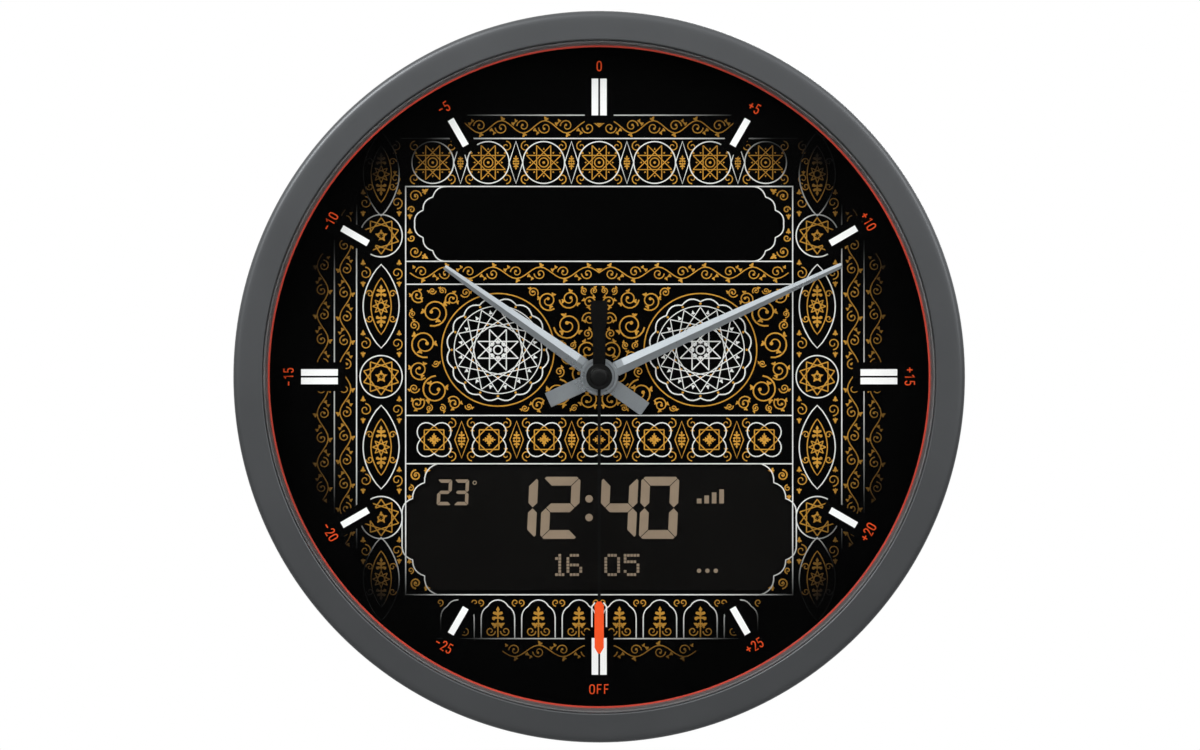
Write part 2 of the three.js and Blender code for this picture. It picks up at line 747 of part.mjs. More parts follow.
function cell(index) {
  const half = (cellLength + cellNubLength) / 2;
  const crimp = cellRadius / 10;
  const profile = [[0, -half], [cellRadius - crimp, -half], [cellRadius, crimp - half]];
  profile.push([cellRadius, half - cellNubLength], [cellNubRadius, half - cellNubLength]);
  profile.push([cellNubRadius, half], [0, half]);
  const points = profile.map(([radius, along]) => new THREE.Vector2(radius, along));
  const geometry = new THREE.LatheGeometry(points, smallRoundSides);
  geometry.rotateZ((-cellFlips(index) * Math.PI) / 2);
  return solidOf(geometry).translate([bayCentreX, cellY, cellZ(index)]);
}

// side is 1 at the bay's right end and -1 at its left; indexes are the cells that the plate touches
function contact(side, indexes) {
  const wallX = bayCentreX + side * (bayLength / 2 - seatGap);
  const faceX = wallX - side * contactThickness;
  const heights = indexes.map(cellZ);
  const low = Math.min(...heights) - contactWidth / 2;
  const high = Math.max(...heights) + contactWidth / 2;
  const plateBody = block(
    [(wallX + faceX) / 2, (low + high) / 2], contactThickness, high - low,
    cellY + contactWidth / 2, cellY - contactWidth / 2,
  );
  const reach = bayEndRoom - contactThickness - 2 * seatGap;
  const touches = indexes.map((index) => {
    const positive = cellFlips(index) === side;
    return positive ? dimple(faceX, side, cellZ(index), reach) : spring(faceX, side, cellZ(index), reach);
  });
  return joined(plateBody, ...touches);
}

function dimple(faceX, side, z, reach) {
  const length = reach + contactThickness / 2;
  const geometry = new THREE.CylinderGeometry(contactDimpleRadius / 2, contactDimpleRadius, length, pinSides);
  geometry.rotateZ((side * Math.PI) / 2);
  return solidOf(geometry).translate([faceX - (side * (reach - contactThickness / 2)) / 2, cellY, z]);
}

function spring(faceX, side, z, reach) {
  const start = contactThickness / 2;
  const points = [];
  for (let i = 0; i <= springTurns * springSteps; i += 1) {
    const share = i / (springTurns * springSteps);
    const turn = 2 * Math.PI * springTurns * share;
    const radius = springRadius * (1 - 0.4 * share);
    const along = -start + (reach - springWire + start) * share;
    const [y, height] = [cellY + radius * Math.cos(turn), z + radius * Math.sin(turn)];
    points.push(new THREE.Vector3(faceX - side * along, y, height));
  }
  const curve = new THREE.CatmullRomCurve3(points);
  return tubeAlong(curve, springWire, springSides, springTurns * springSteps);
}

function batteryDoor() {
  const backY = -seatGap / 2;
  const body = block(bayCentre, doorLength, doorHeight, backY, backY - doorThickness);
  const grips = [-1, 0, 1].map((row) =>
    block(
      [bayCentreX, bayCentreZ - doorHeight / 2 + doorRim * (3 + 1.5 * row)], bayLength / 3, doorRim / 2,
      backY + cutOverrun, backY - doorGripDepth,
    ),
  );
  return cutBy(body, ...grips);
}

// Speaker: its flange lies on the back wall inside the collar, and the magnet points to the dial
const speakerBackY = -(backWall + seatGap);
const magnetRadius = Math.min(speakerMagnetRadius, speakerRadius / 2);
const basketFrontY = speakerBackY - (speakerDepth - speakerMagnetHeight);
const coneSeatY = speakerBackY - speakerFlange - coneThickness - 2 * coneTravel;
const coilBore = magnetRadius / 2;

function speakerFrame() {
  const wall = speakerFlange;
  const innerRadius = speakerRadius - coneRim - wall;
  const flangeY = speakerBackY - speakerFlange;
  const outside = [[speakerRadius, speakerBackY], [speakerRadius, flangeY]];
  outside.push([speakerRadius - coneRim, flangeY], [speakerRadius - coneRim, coneSeatY]);
  outside.push([magnetRadius + wall, basketFrontY]);
  const inside = [[coilBore + wall, basketFrontY], [coilBore + wall, basketFrontY + wall]];
  inside.push([magnetRadius, basketFrontY + wall], [innerRadius, coneSeatY + wall / 2]);
  inside.push([innerRadius, speakerBackY]);
  return turnedAt(speakerPlace, [...outside, ...inside], midRoundSides);
}

function speakerCone() {
  const rimRadius = speakerRadius - coneRim - speakerFlange - runGap;
  const rimY = speakerBackY - coneTravel - seatGap;
  const neckY = basketFrontY + speakerFlange + coneTravel + seatGap;
  const capY = neckY - 2 * coneTravel;
  const back = [[0, neckY + coneThickness], [coilBore, neckY + coneThickness], [rimRadius - coneRim, rimY]];
  const front = [[rimRadius, rimY - coneThickness], [rimRadius - coneRim, rimY - 2 * coneThickness]];
  front.push([coilBore + coneThickness, neckY], [coilBore, capY], [0, capY]);
  return turnedAt(speakerPlace, [...back, [rimRadius, rimY], ...front], midRoundSides);
}

function speakerMagnet() {
  const backY = basketFrontY - seatGap;
  return disc(speakerPlace, magnetRadius, backY, backY - speakerMagnetHeight, midRoundSides);
}

// Straight-flanked teeth, four points to a tooth. A phase is the angle of one tooth's middle
function gearPoints(teeth, phase) {
  const pitchRadius = (teeth * gearModule) / 2;
  const tipRadius = pitchRadius + tipShare * gearModule;
  const rootRadius = pitchRadius - rootShare * gearModule;
  const halfTip = THREE.MathUtils.radToDeg((halfTipShare * gearModule) / tipRadius);
  const halfRoot = THREE.MathUtils.radToDeg((halfRootShare * gearModule) / rootRadius);
  const flank = [[rootRadius, halfRoot], [tipRadius, halfTip]];
  const corners = [...flank, [tipRadius, -halfTip], [rootRadius, -halfRoot]];
  return Array.from({ length: teeth }, (_, i) =>
    corners.map(([radius, turn]) => fromPoint([0, 0], radius, phase - (360 * i) / teeth + turn)),
  ).flat();
}

const gear = (teeth, phase, backY, frontY) => plate(polygon(gearPoints(teeth, phase)), backY, frontY);

// The phase that puts a gap of the second gear round the first gear's tooth on the line between them
function phaseInMesh(teethA, phaseA, placeA, teethB, placeB) {
  const line = THREE.MathUtils.radToDeg(Math.atan2(placeB[0] - placeA[0], placeB[1] - placeA[1]));
  const share = ((line - phaseA) * teethA) / 360;
  return line + 180 - (360 / teethB) * (0.5 - share);
}

// How the teeth of each wheel are turned
const motionPhase = phaseInMesh(cannonTeeth, 0, centrePlace, motionTeeth, motionPlace);
const hourPhase = phaseInMesh(motionPinionTeeth, 0, motionPlace, hourTeeth, centrePlace);
const secondPinionPhase = phaseInMesh(centreTeeth, 0, centrePlace, pinionTeeth, secondPlace);
const firstPinionPhase = phaseInMesh(secondTeeth, 0, secondPlace, pinionTeeth, firstPlace);
const rotorPhase = phaseInMesh(firstTeeth, 0, firstPlace, rotorTeeth, rotorPlace);
const idlerPinionPhase = phaseInMesh(indexTeeth, 0, centrePlace, pinionTeeth, idlerPlace);
const indexRotorPhase = phaseInMesh(idlerTeeth, 0, idlerPlace, pinionTeeth, indexRotorPlace);

const frontPivotY = moveFrontY + seatGap;
const backPivotY = moveBackY - seatGap;
const arbor = (backY = backPivotY) => disc(centrePlace, arborRadius, backY, frontPivotY, pinSides);
const layerBackY = (layer) => layerFrontY(layer) + gearWidth;

// Every wheel is built round its own arbor at the origin and placed by its mesh
function hourWheel() {
  const profile = tubeProfile(hourPipeInner, hourPipeOuter, layerBackY(0), hourHandY - handPlate);
  const wheel = gear(hourTeeth, hourPhase, layerBackY(0), layerFrontY(0));
  const bore = hole(centrePlace, hourPipeInner, layerBackY(0), layerFrontY(0));
  return joined(cutBy(wheel, bore), turned(profile, smallRoundSides));
}

function motionWheel() {
  return joined(
    gear(motionTeeth, motionPhase, layerBackY(1), layerFrontY(1)),
    gear(motionPinionTeeth, 0, layerFrontY(1) + gearWidth / 2, layerFrontY(0)),
    arbor(layerBackY(1) + layerGap / 2),
  );
}

function centreWheel() {
  const body = joined(
    gear(centreTeeth, 0, layerBackY(2), layerFrontY(2)),
    gear(cannonTeeth, 0, layerFrontY(2) + gearWidth / 2, layerFrontY(1)),
    disc(centrePlace, minutePipeOuter, layerFrontY(1) + gearWidth / 2, minuteHandY - handPlate),
  );
  return cutBy(body, hole(centrePlace, minutePipeInner, layerBackY(2), minuteHandY - handPlate));
}

// A wheel and its pinion on one arbor, with the pinion in the layer that it drives
function wheelAndPinion({ teeth, layer, pinion, pinionPhase }) {
  return joined(
    gear(teeth, 0, layerBackY(layer), layerFrontY(layer)),
    gear(pinion, pinionPhase, layerFrontY(layer) + gearWidth / 2, layerFrontY(layer - 1) - layerGap / 4),
    arbor(),
  );
}

function rotor(teeth, phase, layer) {
  return joined(
    gear(teeth, phase, layerBackY(layer) + layerGap / 4, layerFrontY(layer) - layerGap / 4),
    disc(centrePlace, rotorRadius, rotorFrontY + rotorLength, rotorFrontY),
    arbor(),
  );
}

function indexWheel() {
  const shaftFrontY = indexHandY - indexHubThickness / 2;
  return joined(
    gear(indexTeeth, 0, layerBackY(4), layerFrontY(4)),
    disc(centrePlace, indexShaftRadius, backPivotY, shaftFrontY),
  );
}

// Stator: a bar round the rotor with two legs; the coil's core lies across the legs' ends
const statorFrontY = rotorFrontY + (rotorLength - statorThickness) / 2;
const statorBackY = statorFrontY + statorThickness;
const coilRadius = rotorLength / 2 + layerGap - seatGap;

function stator() {
  const halfBar = rotorRadius + runGap + statorMargin;
  const body = joined(
    block(centrePlace, 2 * statorHalfSpan, 2 * halfBar, statorBackY, statorFrontY),
    ...[-1, 1].map((side) =>
      block(
        [side * (statorHalfSpan - statorLegWidth / 2), -statorLegDrop / 2], statorLegWidth, statorLegDrop,
        statorBackY, statorFrontY,
      ),
    ),
  );
  return cutBy(body, hole(centrePlace, rotorRadius + runGap, statorBackY, statorFrontY));
}

function statorCoil() {
  const z = -(statorLegDrop - statorLegWidth / 2);
  const windingLength = 2 * (statorHalfSpan - statorLegWidth) - 2 * runGap;
  const winding = new THREE.CylinderGeometry(coilRadius, coilRadius, windingLength, coilSides);
  winding.rotateZ(Math.PI / 2);
  const coreBackY = statorBackY + seatGap + coilCoreThickness;
  return joined(
    solidOf(winding).translate([0, (statorFrontY + statorBackY) / 2, z]),
    block([0, z], 2 * statorHalfSpan, statorLegWidth / 2, coreBackY, statorBackY + seatGap),
  );
}

// Movement case: an open box with the threaded post, closed at the back by its cover
const moveCentre = [0, (moveTop - moveBottom) / 2];
const moveHeight = moveTop + moveBottom;
const pivotPlaces = [secondPlace, firstPlace, rotorPlace, idlerPlace, indexRotorPlace];

function pivotHoles(places, backY, frontY, radius = arborRadius) {
  return places.map((at) => hole(at, radius + runGap, backY, frontY, pinSides));
}

function movementCase() {
  const wallBackY = moveFrontY + moveWall;
  const innerWidth = 2 * (moveHalfWidth - moveWall);
  const inner = block(moveCentre, innerWidth, moveHeight - 2 * moveWall, moveBackY + cutOverrun, wallBackY);
  const shell = cutBy(block(moveCentre, 2 * moveHalfWidth, moveHeight, moveBackY, moveFrontY), inner);
  const post = disc(centrePlace, postOuter, wallBackY, nutFrontY, midRoundSides);
  return cutBy(
    joined(shell, post),
    hole(centrePlace, postInner, wallBackY - cutOverrun + layerGap / 2, nutFrontY, midRoundSides),
    ...pivotHoles([motionPlace, ...pivotPlaces], wallBackY - cutOverrun + layerGap / 2, moveFrontY),
  );
}

function movementCover() {
  const coverFrontY = moveBackY - moveWall;
  const width = 2 * (moveHalfWidth - moveWall - seatGap);
  const body = block(moveCentre, width, moveHeight - 2 * (moveWall + seatGap), moveBackY, coverFrontY);
  return cutBy(
    body,
    ...pivotHoles(pivotPlaces, moveBackY, coverFrontY),
    ...pivotHoles([centrePlace], moveBackY, coverFrontY, indexShaftRadius),
  );
}

function mountingNut() {
  const body = plate(polygon(ringPoints(6, nutRadius)), dialFrontY - seatGap, dialFrontY - nutHeight);
  return cutBy(body, hole(centrePlace, postOuter + seatGap, dialFrontY, nutFrontY, midRoundSides));
}

// Hands: each points straight up here and is turned to its place by its mesh. y = 0 is the hand's back
function handBlade(reach) {
  const rootZ = handHubRadius - handHipLength / 2;
  const section = (z, width, ridge) => [
    [-width / 2, 0, z], [width / 2, 0, z], [width / 2, -handPlate, z], [0, -handPlate - ridge, z],
    [-width / 2, -handPlate, z],
  ];
  const widthAt = (z) => handRootWidth + (handTipWidth - handRootWidth) * ((z - rootZ) / (reach - rootZ));
  return loft([
    section(rootZ, handRootWidth, 0.02 * handRidge),
    section(rootZ + handHipLength, widthAt(rootZ + handHipLength), handRidge),
    section(reach, handTipWidth, handRidge / 2),
  ]);
}

// A closed body through rings of points that all have the same count
function loft(rings) {
  const count = rings[0].length;
  const positions = rings.flat(2);
  const index = [];
  for (let ring = 0; ring + 1 < rings.length; ring += 1) {
    for (let i = 0; i < count; i += 1) {
      const [a, b] = [ring * count + i, ring * count + ((i + 1) % count)];
      index.push(a, b, a + count, b, b + count, a + count);
    }
  }
  const last = (rings.length - 1) * count;
  for (let i = 1; i + 1 < count; i += 1) index.push(0, i + 1, i, last, last + i, last + i + 1);
  const geometry = new THREE.BufferGeometry();
  geometry.setAttribute("position", new THREE.Float32BufferAttribute(positions, 3));
  geometry.setIndex(index);
  return solidOf(geometry);
}

function clockHand(reach, bore) {
  const tail = block([0, -handTailReach / 2], handTailWidth, handTailReach, 0, -handPlate);
  const hub = disc(centrePlace, handHubRadius, 0, -handPlate - handRidge / 3, midRoundSides);
  return cutBy(joined(handBlade(reach), tail, hub), hole(centrePlace, bore, 0, -handHeight));
}

function indexHand() {
  const thin = (points) => plate(polygon(points), 0, -indexStickThickness);
  const mirrored = (side) => [...side, ...side.filter(([x]) => x > 0).map(([x, z]) => [-x, z]).reverse()];
  const halfStick = indexStickWidth / 2;
  const halfTip = indexTipWidth / 2;
  const tipStart = indexReach - indexTipLength;
  const stick = thin(mirrored([[halfStick, 0], [halfStick, tipStart + halfTip]]));
  const tip = thin(mirrored([
    [halfStick, tipStart],
    [halfTip, tipStart + halfTip],
    [halfTip, indexReach - halfTip],
    [0, indexReach],
  ]));
  const halfPaddle = indexPaddleWidth / 2;
  const halfNeck = indexNeckWidth / 2;
  const chamfer = indexPaddleWidth / 6;
  const paddle = thin(mirrored([
    [halfNeck, 0],
    [halfNeck, -indexPaddleReach / 2],
    [halfPaddle, -paddleShoulderShare * indexPaddleReach],
    [halfPaddle, chamfer - indexPaddleReach],
    [halfPaddle - chamfer, -indexPaddleReach],
  ]));
  const capY = -indexHubThickness;
  const hubProfile = [[0, 0], [indexHubRadius, 0], [indexHubRadius, capY], [indexDomeRadius, capY]];
  hubProfile.push([indexDomeRadius / 2, capY - indexDomeRise], [0, capY - indexDomeRise]);
  const hub = turned(hubProfile, midRoundSides);
  const socket = disc(centrePlace, indexShaftRadius + seatGap / 2, cutOverrun, capY / 2 - seatGap);
  return cutBy(joined(stick, tip, paddle, hub), socket);
}

// Leads inside the case, from what they feed to the board's top edge
function lead(points) {
  const curve = new THREE.CatmullRomCurve3(points.map((point) => new THREE.Vector3(...point)));
  return tubeAlong(curve, leadRadius, leadSides, leadSteps);
}

const leadLandingY = boardBackY + leadRadius + seatGap;
const landingHigh = displayTop + 6 * leadRadius;
const landingLow = displayTop - 4 * leadRadius;

// From its start, straight down a little, then by a point halfway to where it lands on the board
function boardLead([startX, startZ], y, midX, landingX) {
  const dropZ = startZ - 5 * leadRadius;
  return lead([
    [startX, y, startZ],
    [startX, y, dropZ],
    [midX, (y + leadLandingY) / 2, (dropZ + landingHigh) / 2],
    [landingX, leadLandingY, landingHigh],
    [landingX, leadLandingY, landingLow],
  ]);
}

function speakerLead() {
  const startZ = speakerZ - speakerRadius - collarWall - 2 * leadRadius;
  const y = speakerBackY - speakerFlange - leadRadius;
  return boardLead([speakerX, startZ], y, boardPinX * 0.9, boardPinX * 0.7);
}

function batteryLead() {
  const startZ = bayCentreZ - bayHeight / 2 - bayWall - leadRadius - seatGap;
  return boardLead([bayCentreX, startZ], cellY, -boardPinX * 0.8, -boardPinX * 0.6);
}

function movementLead() {
  const y = moveBackY - moveWall - leadRadius;
  const startZ = -moveBottom - seatGap;
  const x = moveHalfWidth / 3;
  return lead([
    [x, y, startZ],
    [x, y, startZ - leadRadius],
    [x, leadLandingY, displayTop - leadRadius],
    [x, leadLandingY, displayTop - 3 * leadRadius],
  ]);
}

// Finishes, as the photograph shows them
const finish = (color, roughness, metalness = 0, more = {}) =>
  new THREE.MeshStandardMaterial({ color, roughness, metalness, ...more });
const finishes = {
  rim: () => finish(0x55575a, 0.45),
  housing: () => finish(0x1c1d1f, 0.6),
  glass: () => finish(0xffffff, 0.05, 0, { transparent: true, opacity: 0.2 }),
  accent: () => finish(0xd8402c, 0.5),
  dial: () => finish(0x050505, 0.8),
  carrier: () => finish(0x222427, 0.7),
  silver: () => finish(0x9aa2ab, 0.3, 0.8),
  pointer: () => finish(0x101011, 0.5),
  steel: () => finish(0xb5b8bb, 0.35, 0.9),
  brass: () => finish(0xc9a24c, 0.3, 0.9),
  gearing: () => finish(0xe9e6dc, 0.6),
  copper: () => finish(0xa8552b, 0.4, 0.6),
  magnet: () => finish(0x3a3b3d, 0.5, 0.4),
  display: () => finish(0x101112, 0.25),
  rubber: () => finish(0x2b2b2d, 0.85),
  board: () => finish(0x1e6b3a, 0.5),
  chip: () => finish(0x161616, 0.5),
  paper: () => finish(0x2a2a2a, 0.9),
  battery: () => finish(0x2d3f57, 0.4, 0.2),
  lead: () => finish(0x9c2a2a, 0.6),
};

const clock = new THREE.Group();

function place(name, solid, material, parent = clock, at = [0, 0], degrees = 0) {
  const mesh = new THREE.Mesh(geometryOf(solid), finishes[material]());
  mesh.name = name;
  mesh.position.set(at[0], 0, at[1]);
  mesh.rotation.y = THREE.MathUtils.degToRad(degrees);
  parent.add(mesh);
}

function groupAt(y, parent = clock) {
  const group = new THREE.Group();
  group.position.y = y;
  parent.add(group);
  return group;
}

place("bezel", bezel(), "rim");
place("lens", lens(), "glass");
place("spacer_ring", spacerRing(), "rim");
place("accent_ring", accentRing(), "accent");
place("dial_plate", dialPlate(), "dial");
place("dial_carrier", dialCarrier(), "carrier");
place("rear_housing", rearHousing(), "housing");
place("battery_door", batteryDoor(), "housing");
place("hanger_plate", hangerPlate(), "steel");
screwPlaces().forEach((at, i) => place(`case_screw_${i + 1}`, caseScrew(at), "steel"));

place("lcd_panel", displayPanel(), "display");
place("lcd_frame", displayFrame(), "carrier");
place("zebra_strip", zebraStrip(), "rubber");
place("main_board", mainBoard(), "board");
place("clock_chip", clockChip(), "chip");
place("capacitor", capacitor(), "chip");
keyPlaces().forEach((at, i) => place(`key_${i + 1}`, keyCap(at), "rubber"));
place("switch_slider", switchSlider(), "rubber");
place("volume_wheel", volumeWheel(), "rubber");

place("speaker_frame", speakerFrame(), "steel");
place("speaker_cone", speakerCone(), "paper");
place("speaker_magnet", speakerMagnet(), "magnet");

for (let i = 0; i < cellCount; i += 1) place(`cell_${i + 1}`, cell(i), "battery");
place("contact_positive", contact(1, [0]), "steel");
place("contact_link_left", contact(-1, [0, 1]), "steel");
place("contact_link_right", contact(1, [1, 2]), "steel");
place("contact_negative", contact(-1, [2]), "steel");

place("movement_case", movementCase(), "pointer");
place("movement_cover", movementCover(), "pointer");
place("mounting_nut", mountingNut(), "brass");
place("hour_wheel", hourWheel(), "gearing");
place("centre_wheel", centreWheel(), "gearing");
place("motion_wheel", motionWheel(), "gearing", clock, motionPlace);
const secondParts = { teeth: secondTeeth, layer: 3, pinion: pinionTeeth, pinionPhase: secondPinionPhase };
const firstParts = { teeth: firstTeeth, layer: 4, pinion: pinionTeeth, pinionPhase: firstPinionPhase };
const idlerParts = { teeth: idlerTeeth, layer: 5, pinion: pinionTeeth, pinionPhase: idlerPinionPhase };
place("second_wheel", wheelAndPinion(secondParts), "gearing", clock, secondPlace);
place("first_wheel", wheelAndPinion(firstParts), "gearing", clock, firstPlace);
place("time_rotor", rotor(rotorTeeth, rotorPhase, 4), "magnet", clock, rotorPlace);
place("time_stator", stator(), "steel", clock, rotorPlace);
place("time_coil", statorCoil(), "copper", clock, rotorPlace);
place("index_wheel", indexWheel(), "gearing");
place("index_idler", wheelAndPinion(idlerParts), "gearing", clock, idlerPlace);
place("index_rotor", rotor(pinionTeeth, indexRotorPhase, 5), "magnet", clock, indexRotorPlace);
place("index_stator", stator(), "steel", clock, indexRotorPlace);
place("index_coil", statorCoil(), "copper", clock, indexRotorPlace);

const hourHand = clockHand(hourHandReach, hourPipeOuter + seatGap / 2);
const minuteHand = clockHand(minuteHandReach, minutePipeOuter + seatGap / 2);
place("hour_hand", hourHand, "silver", groupAt(hourHandY), centrePlace, hourHandAngle);
place("minute_hand", minuteHand, "silver", groupAt(minuteHandY), centrePlace, minuteHandAngle);
place("index_hand", indexHand(), "pointer", groupAt(indexHandY), centrePlace, indexHandAngle);

place("speaker_lead", speakerLead(), "lead");
place("battery_lead", batteryLead(), "lead");
place("movement_lead", movementLead(), "lead");

export default clock;
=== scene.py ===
"""The looks of a round wall clock: grey rim, dial with a printed ornament, display and three hands.

Metres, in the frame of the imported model: X to the right of the dial, Z up, the dial faces -Y and
the back lies on the wall at Y = 0. The sections follow the order in which the clock is put together.
"""
import math

import bmesh
import bpy
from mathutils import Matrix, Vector
from mathutils.geometry import tessellate_polygon


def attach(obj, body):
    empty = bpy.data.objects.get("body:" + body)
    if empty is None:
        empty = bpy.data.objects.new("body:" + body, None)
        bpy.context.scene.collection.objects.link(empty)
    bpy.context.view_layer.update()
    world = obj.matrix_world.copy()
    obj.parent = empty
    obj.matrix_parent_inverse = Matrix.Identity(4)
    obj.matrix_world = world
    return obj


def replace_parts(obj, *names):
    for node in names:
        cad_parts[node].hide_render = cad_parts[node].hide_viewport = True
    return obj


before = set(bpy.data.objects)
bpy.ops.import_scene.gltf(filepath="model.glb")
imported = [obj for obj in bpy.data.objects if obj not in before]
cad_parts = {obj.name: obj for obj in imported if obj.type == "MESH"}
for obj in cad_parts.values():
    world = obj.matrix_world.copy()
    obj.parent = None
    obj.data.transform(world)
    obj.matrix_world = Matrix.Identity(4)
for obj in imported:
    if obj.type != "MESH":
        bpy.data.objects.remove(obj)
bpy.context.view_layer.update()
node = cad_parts

# Rear housing. One black ABS moulding with a fine spark-eroded grain, turned in form: a flat back,
# a sloping shoulder and a flange that six screws pull against the rim. The recess, the battery bay,
# the hanger pocket and the grille are sunk into its back.
MM = 0.001


def feed(made, *inputs, **named):
    """Give a node's open inputs, in their order or by name, each a value, a socket or a node."""
    ends = [end for end in made.inputs if end.enabled]
    names = {end.name.replace(" ", "_"): end for end in reversed(ends)}
    for end, source in [*zip(ends, inputs), *((names[name], source) for name, source in named.items())]:
        if isinstance(source, bpy.types.Node):
            source = next(socket for socket in source.outputs if socket.enabled)
        if isinstance(source, bpy.types.NodeSocket):
            made.id_data.links.new(source, end)
        else:
            end.default_value = source
    return made


def wire(tree, kind, *inputs, **named):
    """A new node of a tree, fed. The names in small letters are its settings."""
    families = (tree.bl_idname[:-4], "ShaderNode", "FunctionNode")
    made = tree.nodes.new(next(family + kind for family in families if hasattr(bpy.types, family + kind)))
    for name in [name for name in named if name.islower()]:
        setattr(made, name, named.pop(name))
    return feed(made, *inputs, **named)


def sums(tree, operation, *values):
    """One Math node."""
    return wire(tree, "Math", *values, operation=operation)


def paint(code):
    """A colour as it is written on a paint card, #rrggbb, for a colour socket."""
    shares = [int(code[i:i + 2], 16) / 255 for i in (1, 3, 5)]
    return tuple(s / 12.92 if s <= 0.04045 else ((s + 0.055) / 1.055) ** 2.4 for s in shares) + (1.0,)


def group(name, kind, inputs, outputs):
    """An empty node group with named sockets, what it is given and the node for its results."""
    tree = bpy.data.node_groups.new(name, kind + "NodeTree")
    for way, sockets in (("INPUT", inputs), ("OUTPUT", outputs)):
        for label, sort in sockets.items():
            tree.interface.new_socket(label, in_out=way, socket_type="NodeSocket" + sort)
    return tree, tree.nodes.new("NodeGroupInput").outputs, tree.nodes.new("NodeGroupOutput")


def cloud_effect():
    """Slow clouds between two colours and two roughnesses, and a fine grain as a height."""
    tree, given, result = group(
        "clouded_grain", "Shader",
        {"Light": "Color", "Dark": "Color", "Smooth": "Float", "Rough": "Float", "Clouds": "Float",
         "Grain": "Float", "Stretch": "Vector"},
        {"Colour": "Color", "Roughness": "Float", "Height": "Float"})
    place = wire(tree, "TexCoord").outputs["Object"]
    drawn = wire(tree, "VectorMath", place, given["Stretch"], operation="MULTIPLY")
    clouds = wire(tree, "TexNoise", Vector=drawn, Scale=given["Clouds"], Detail=4.0, Roughness=0.6)
    grain = wire(tree, "TexNoise", Vector=drawn, Scale=given["Grain"], Detail=2.0, Roughness=0.55)
    mask = wire(tree, "MapRange", clouds, 0.3, 0.7)
    speck = wire(tree, "MapRange", grain, 0.25, 0.75)
    both = wire(tree, "Mix", 0.35, mask, speck)
    colour = wire(tree, "Mix", both, given["Dark"], given["Light"], data_type="RGBA")
    rough = wire(tree, "MapRange", both, To_Min=given["Smooth"], To_Max=given["Rough"])
    feed(result, colour, rough, grain)
    return tree


clouded_grain = cloud_effect()


def shaded(name):
    """A new material, its tree and its shader."""
    material = bpy.data.materials.new(name)
    material.use_nodes = True
    return material, material.node_tree, material.node_tree.nodes["Principled BSDF"]


def finish(name, light, dark, smooth, rough, clouds, grain, relief=1e-5, stretch=(1, 1, 1), **sockets):
    """A material with clouded colour and roughness and a grain that stands up by relief."""
    material, tree, shader = shaded(name)
    tone = wire(tree, "Group", Light=paint(light), Dark=paint(dark), Smooth=smooth, Rough=rough,
                Clouds=clouds, Grain=grain, Stretch=stretch, node_tree=clouded_grain)
    bump = wire(tree, "Bump", Height=tone.outputs["Height"], Distance=relief)
    feed(shader, Base_Color=tone, Roughness=tone.outputs["Roughness"], Normal=bump, **sockets)
    return material


def placed(name, data):
    """A new object at the origin."""
    made = bpy.data.objects.new(name, data)
    bpy.context.scene.collection.objects.link(made)
    return made


def mesh_of(name, verts, edges=(), faces=(), material=None):
    """A mesh from points in millimetres."""
    mesh = bpy.data.meshes.new(name)
    mesh.from_pydata([(x * MM, y * MM, z * MM) for x, y, z in verts], edges, faces)
    if material:
        mesh.materials.append(material)
    return mesh


def faced(mesh):
    """The same mesh with its faces turned out."""
    shell = bmesh.new()
    shell.from_mesh(mesh)
    bmesh.ops.recalc_face_normals(shell, faces=shell.faces)
    shell.to_mesh(mesh)
    shell.free()
    return mesh


def gathered(name, shells, material=None):
    """Closed shells, each its points and faces, as one mesh with its faces out."""
    verts, faces = [], []
    for shell_verts, shell_faces in shells:
        faces += [[i + len(verts) for i in face] for face in shell_faces]
        verts += shell_verts
    return faced(mesh_of(name, verts, (), faces, material))


def seat_piece(name, mesh, body="case", slot=None, smooth=None):
    """The last steps of every piece: faces out, shading, its object and its body. The slot is not used."""
    faced(mesh)
    if smooth:
        mesh.shade_smooth()
        mesh.set_sharp_from_angle(angle=math.radians(smooth))
    piece = placed(name, mesh)
    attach(piece, body)
    return piece


def at(x, z, radius, angle):
    """The point of a circle at an angle, in degrees clockwise from the top."""
    a = math.radians(angle)
    return x + radius * math.sin(a), z + radius * math.cos(a)


def arc(x, z, radius, start, end, count):
    """Points of an arc, in degrees clockwise from the top."""
    return [at(x, z, radius, start + (end - start) * i / count) for i in range(count + 1)]


def circle(x, z, radius, grow=0.0, count=36):
    """Points of a circle, grown."""
    return arc(x, z, radius + grow, 0, 360 - 360 / count, count - 1)


def round_box(x, z, half_x, half_z, corner, grow=0.0, count=4):
    """A rectangle with round corners as seen from the front, grown on all sides."""
    points = []
    for sx, sz, start in ((1, 1, 0), (1, -1, 90), (-1, -1, 180), (-1, 1, 270)):
        centre = (x + sx * (half_x - corner), z + sz * (half_z - corner))
        points += arc(*centre, corner + grow, start, start + 90, count)
    return points


def loft(sections):
    """A closed shell through sections of the same number of points."""
    size = len(sections[0])
    verts = [point for section in sections for point in section]
    last = len(verts) - size
    faces = [(a + i, a + (i + 1) % size, a + size + (i + 1) % size, a + size + i)
             for a in range(0, last, size) for i in range(size)]
    return verts, faces + [list(range(size)), [last + i for i in reversed(range(size))]]


def plug(levels, outline, *sizes, **more):
    """A closed body through outlines at levels of (y, growth)."""
    return loft([[(x, y, z) for x, z in outline(*sizes, grow=grow, **more)] for y, grow in levels])


def settled(start):
    """The mesh that an object's modifiers give. The object itself goes."""
    bpy.context.view_layer.update()
    held = start.evaluated_get(bpy.context.evaluated_depsgraph_get())
    result = bpy.data.meshes.new_from_object(held)
    start.modifiers.clear()
    bpy.data.objects.remove(start)
    return result


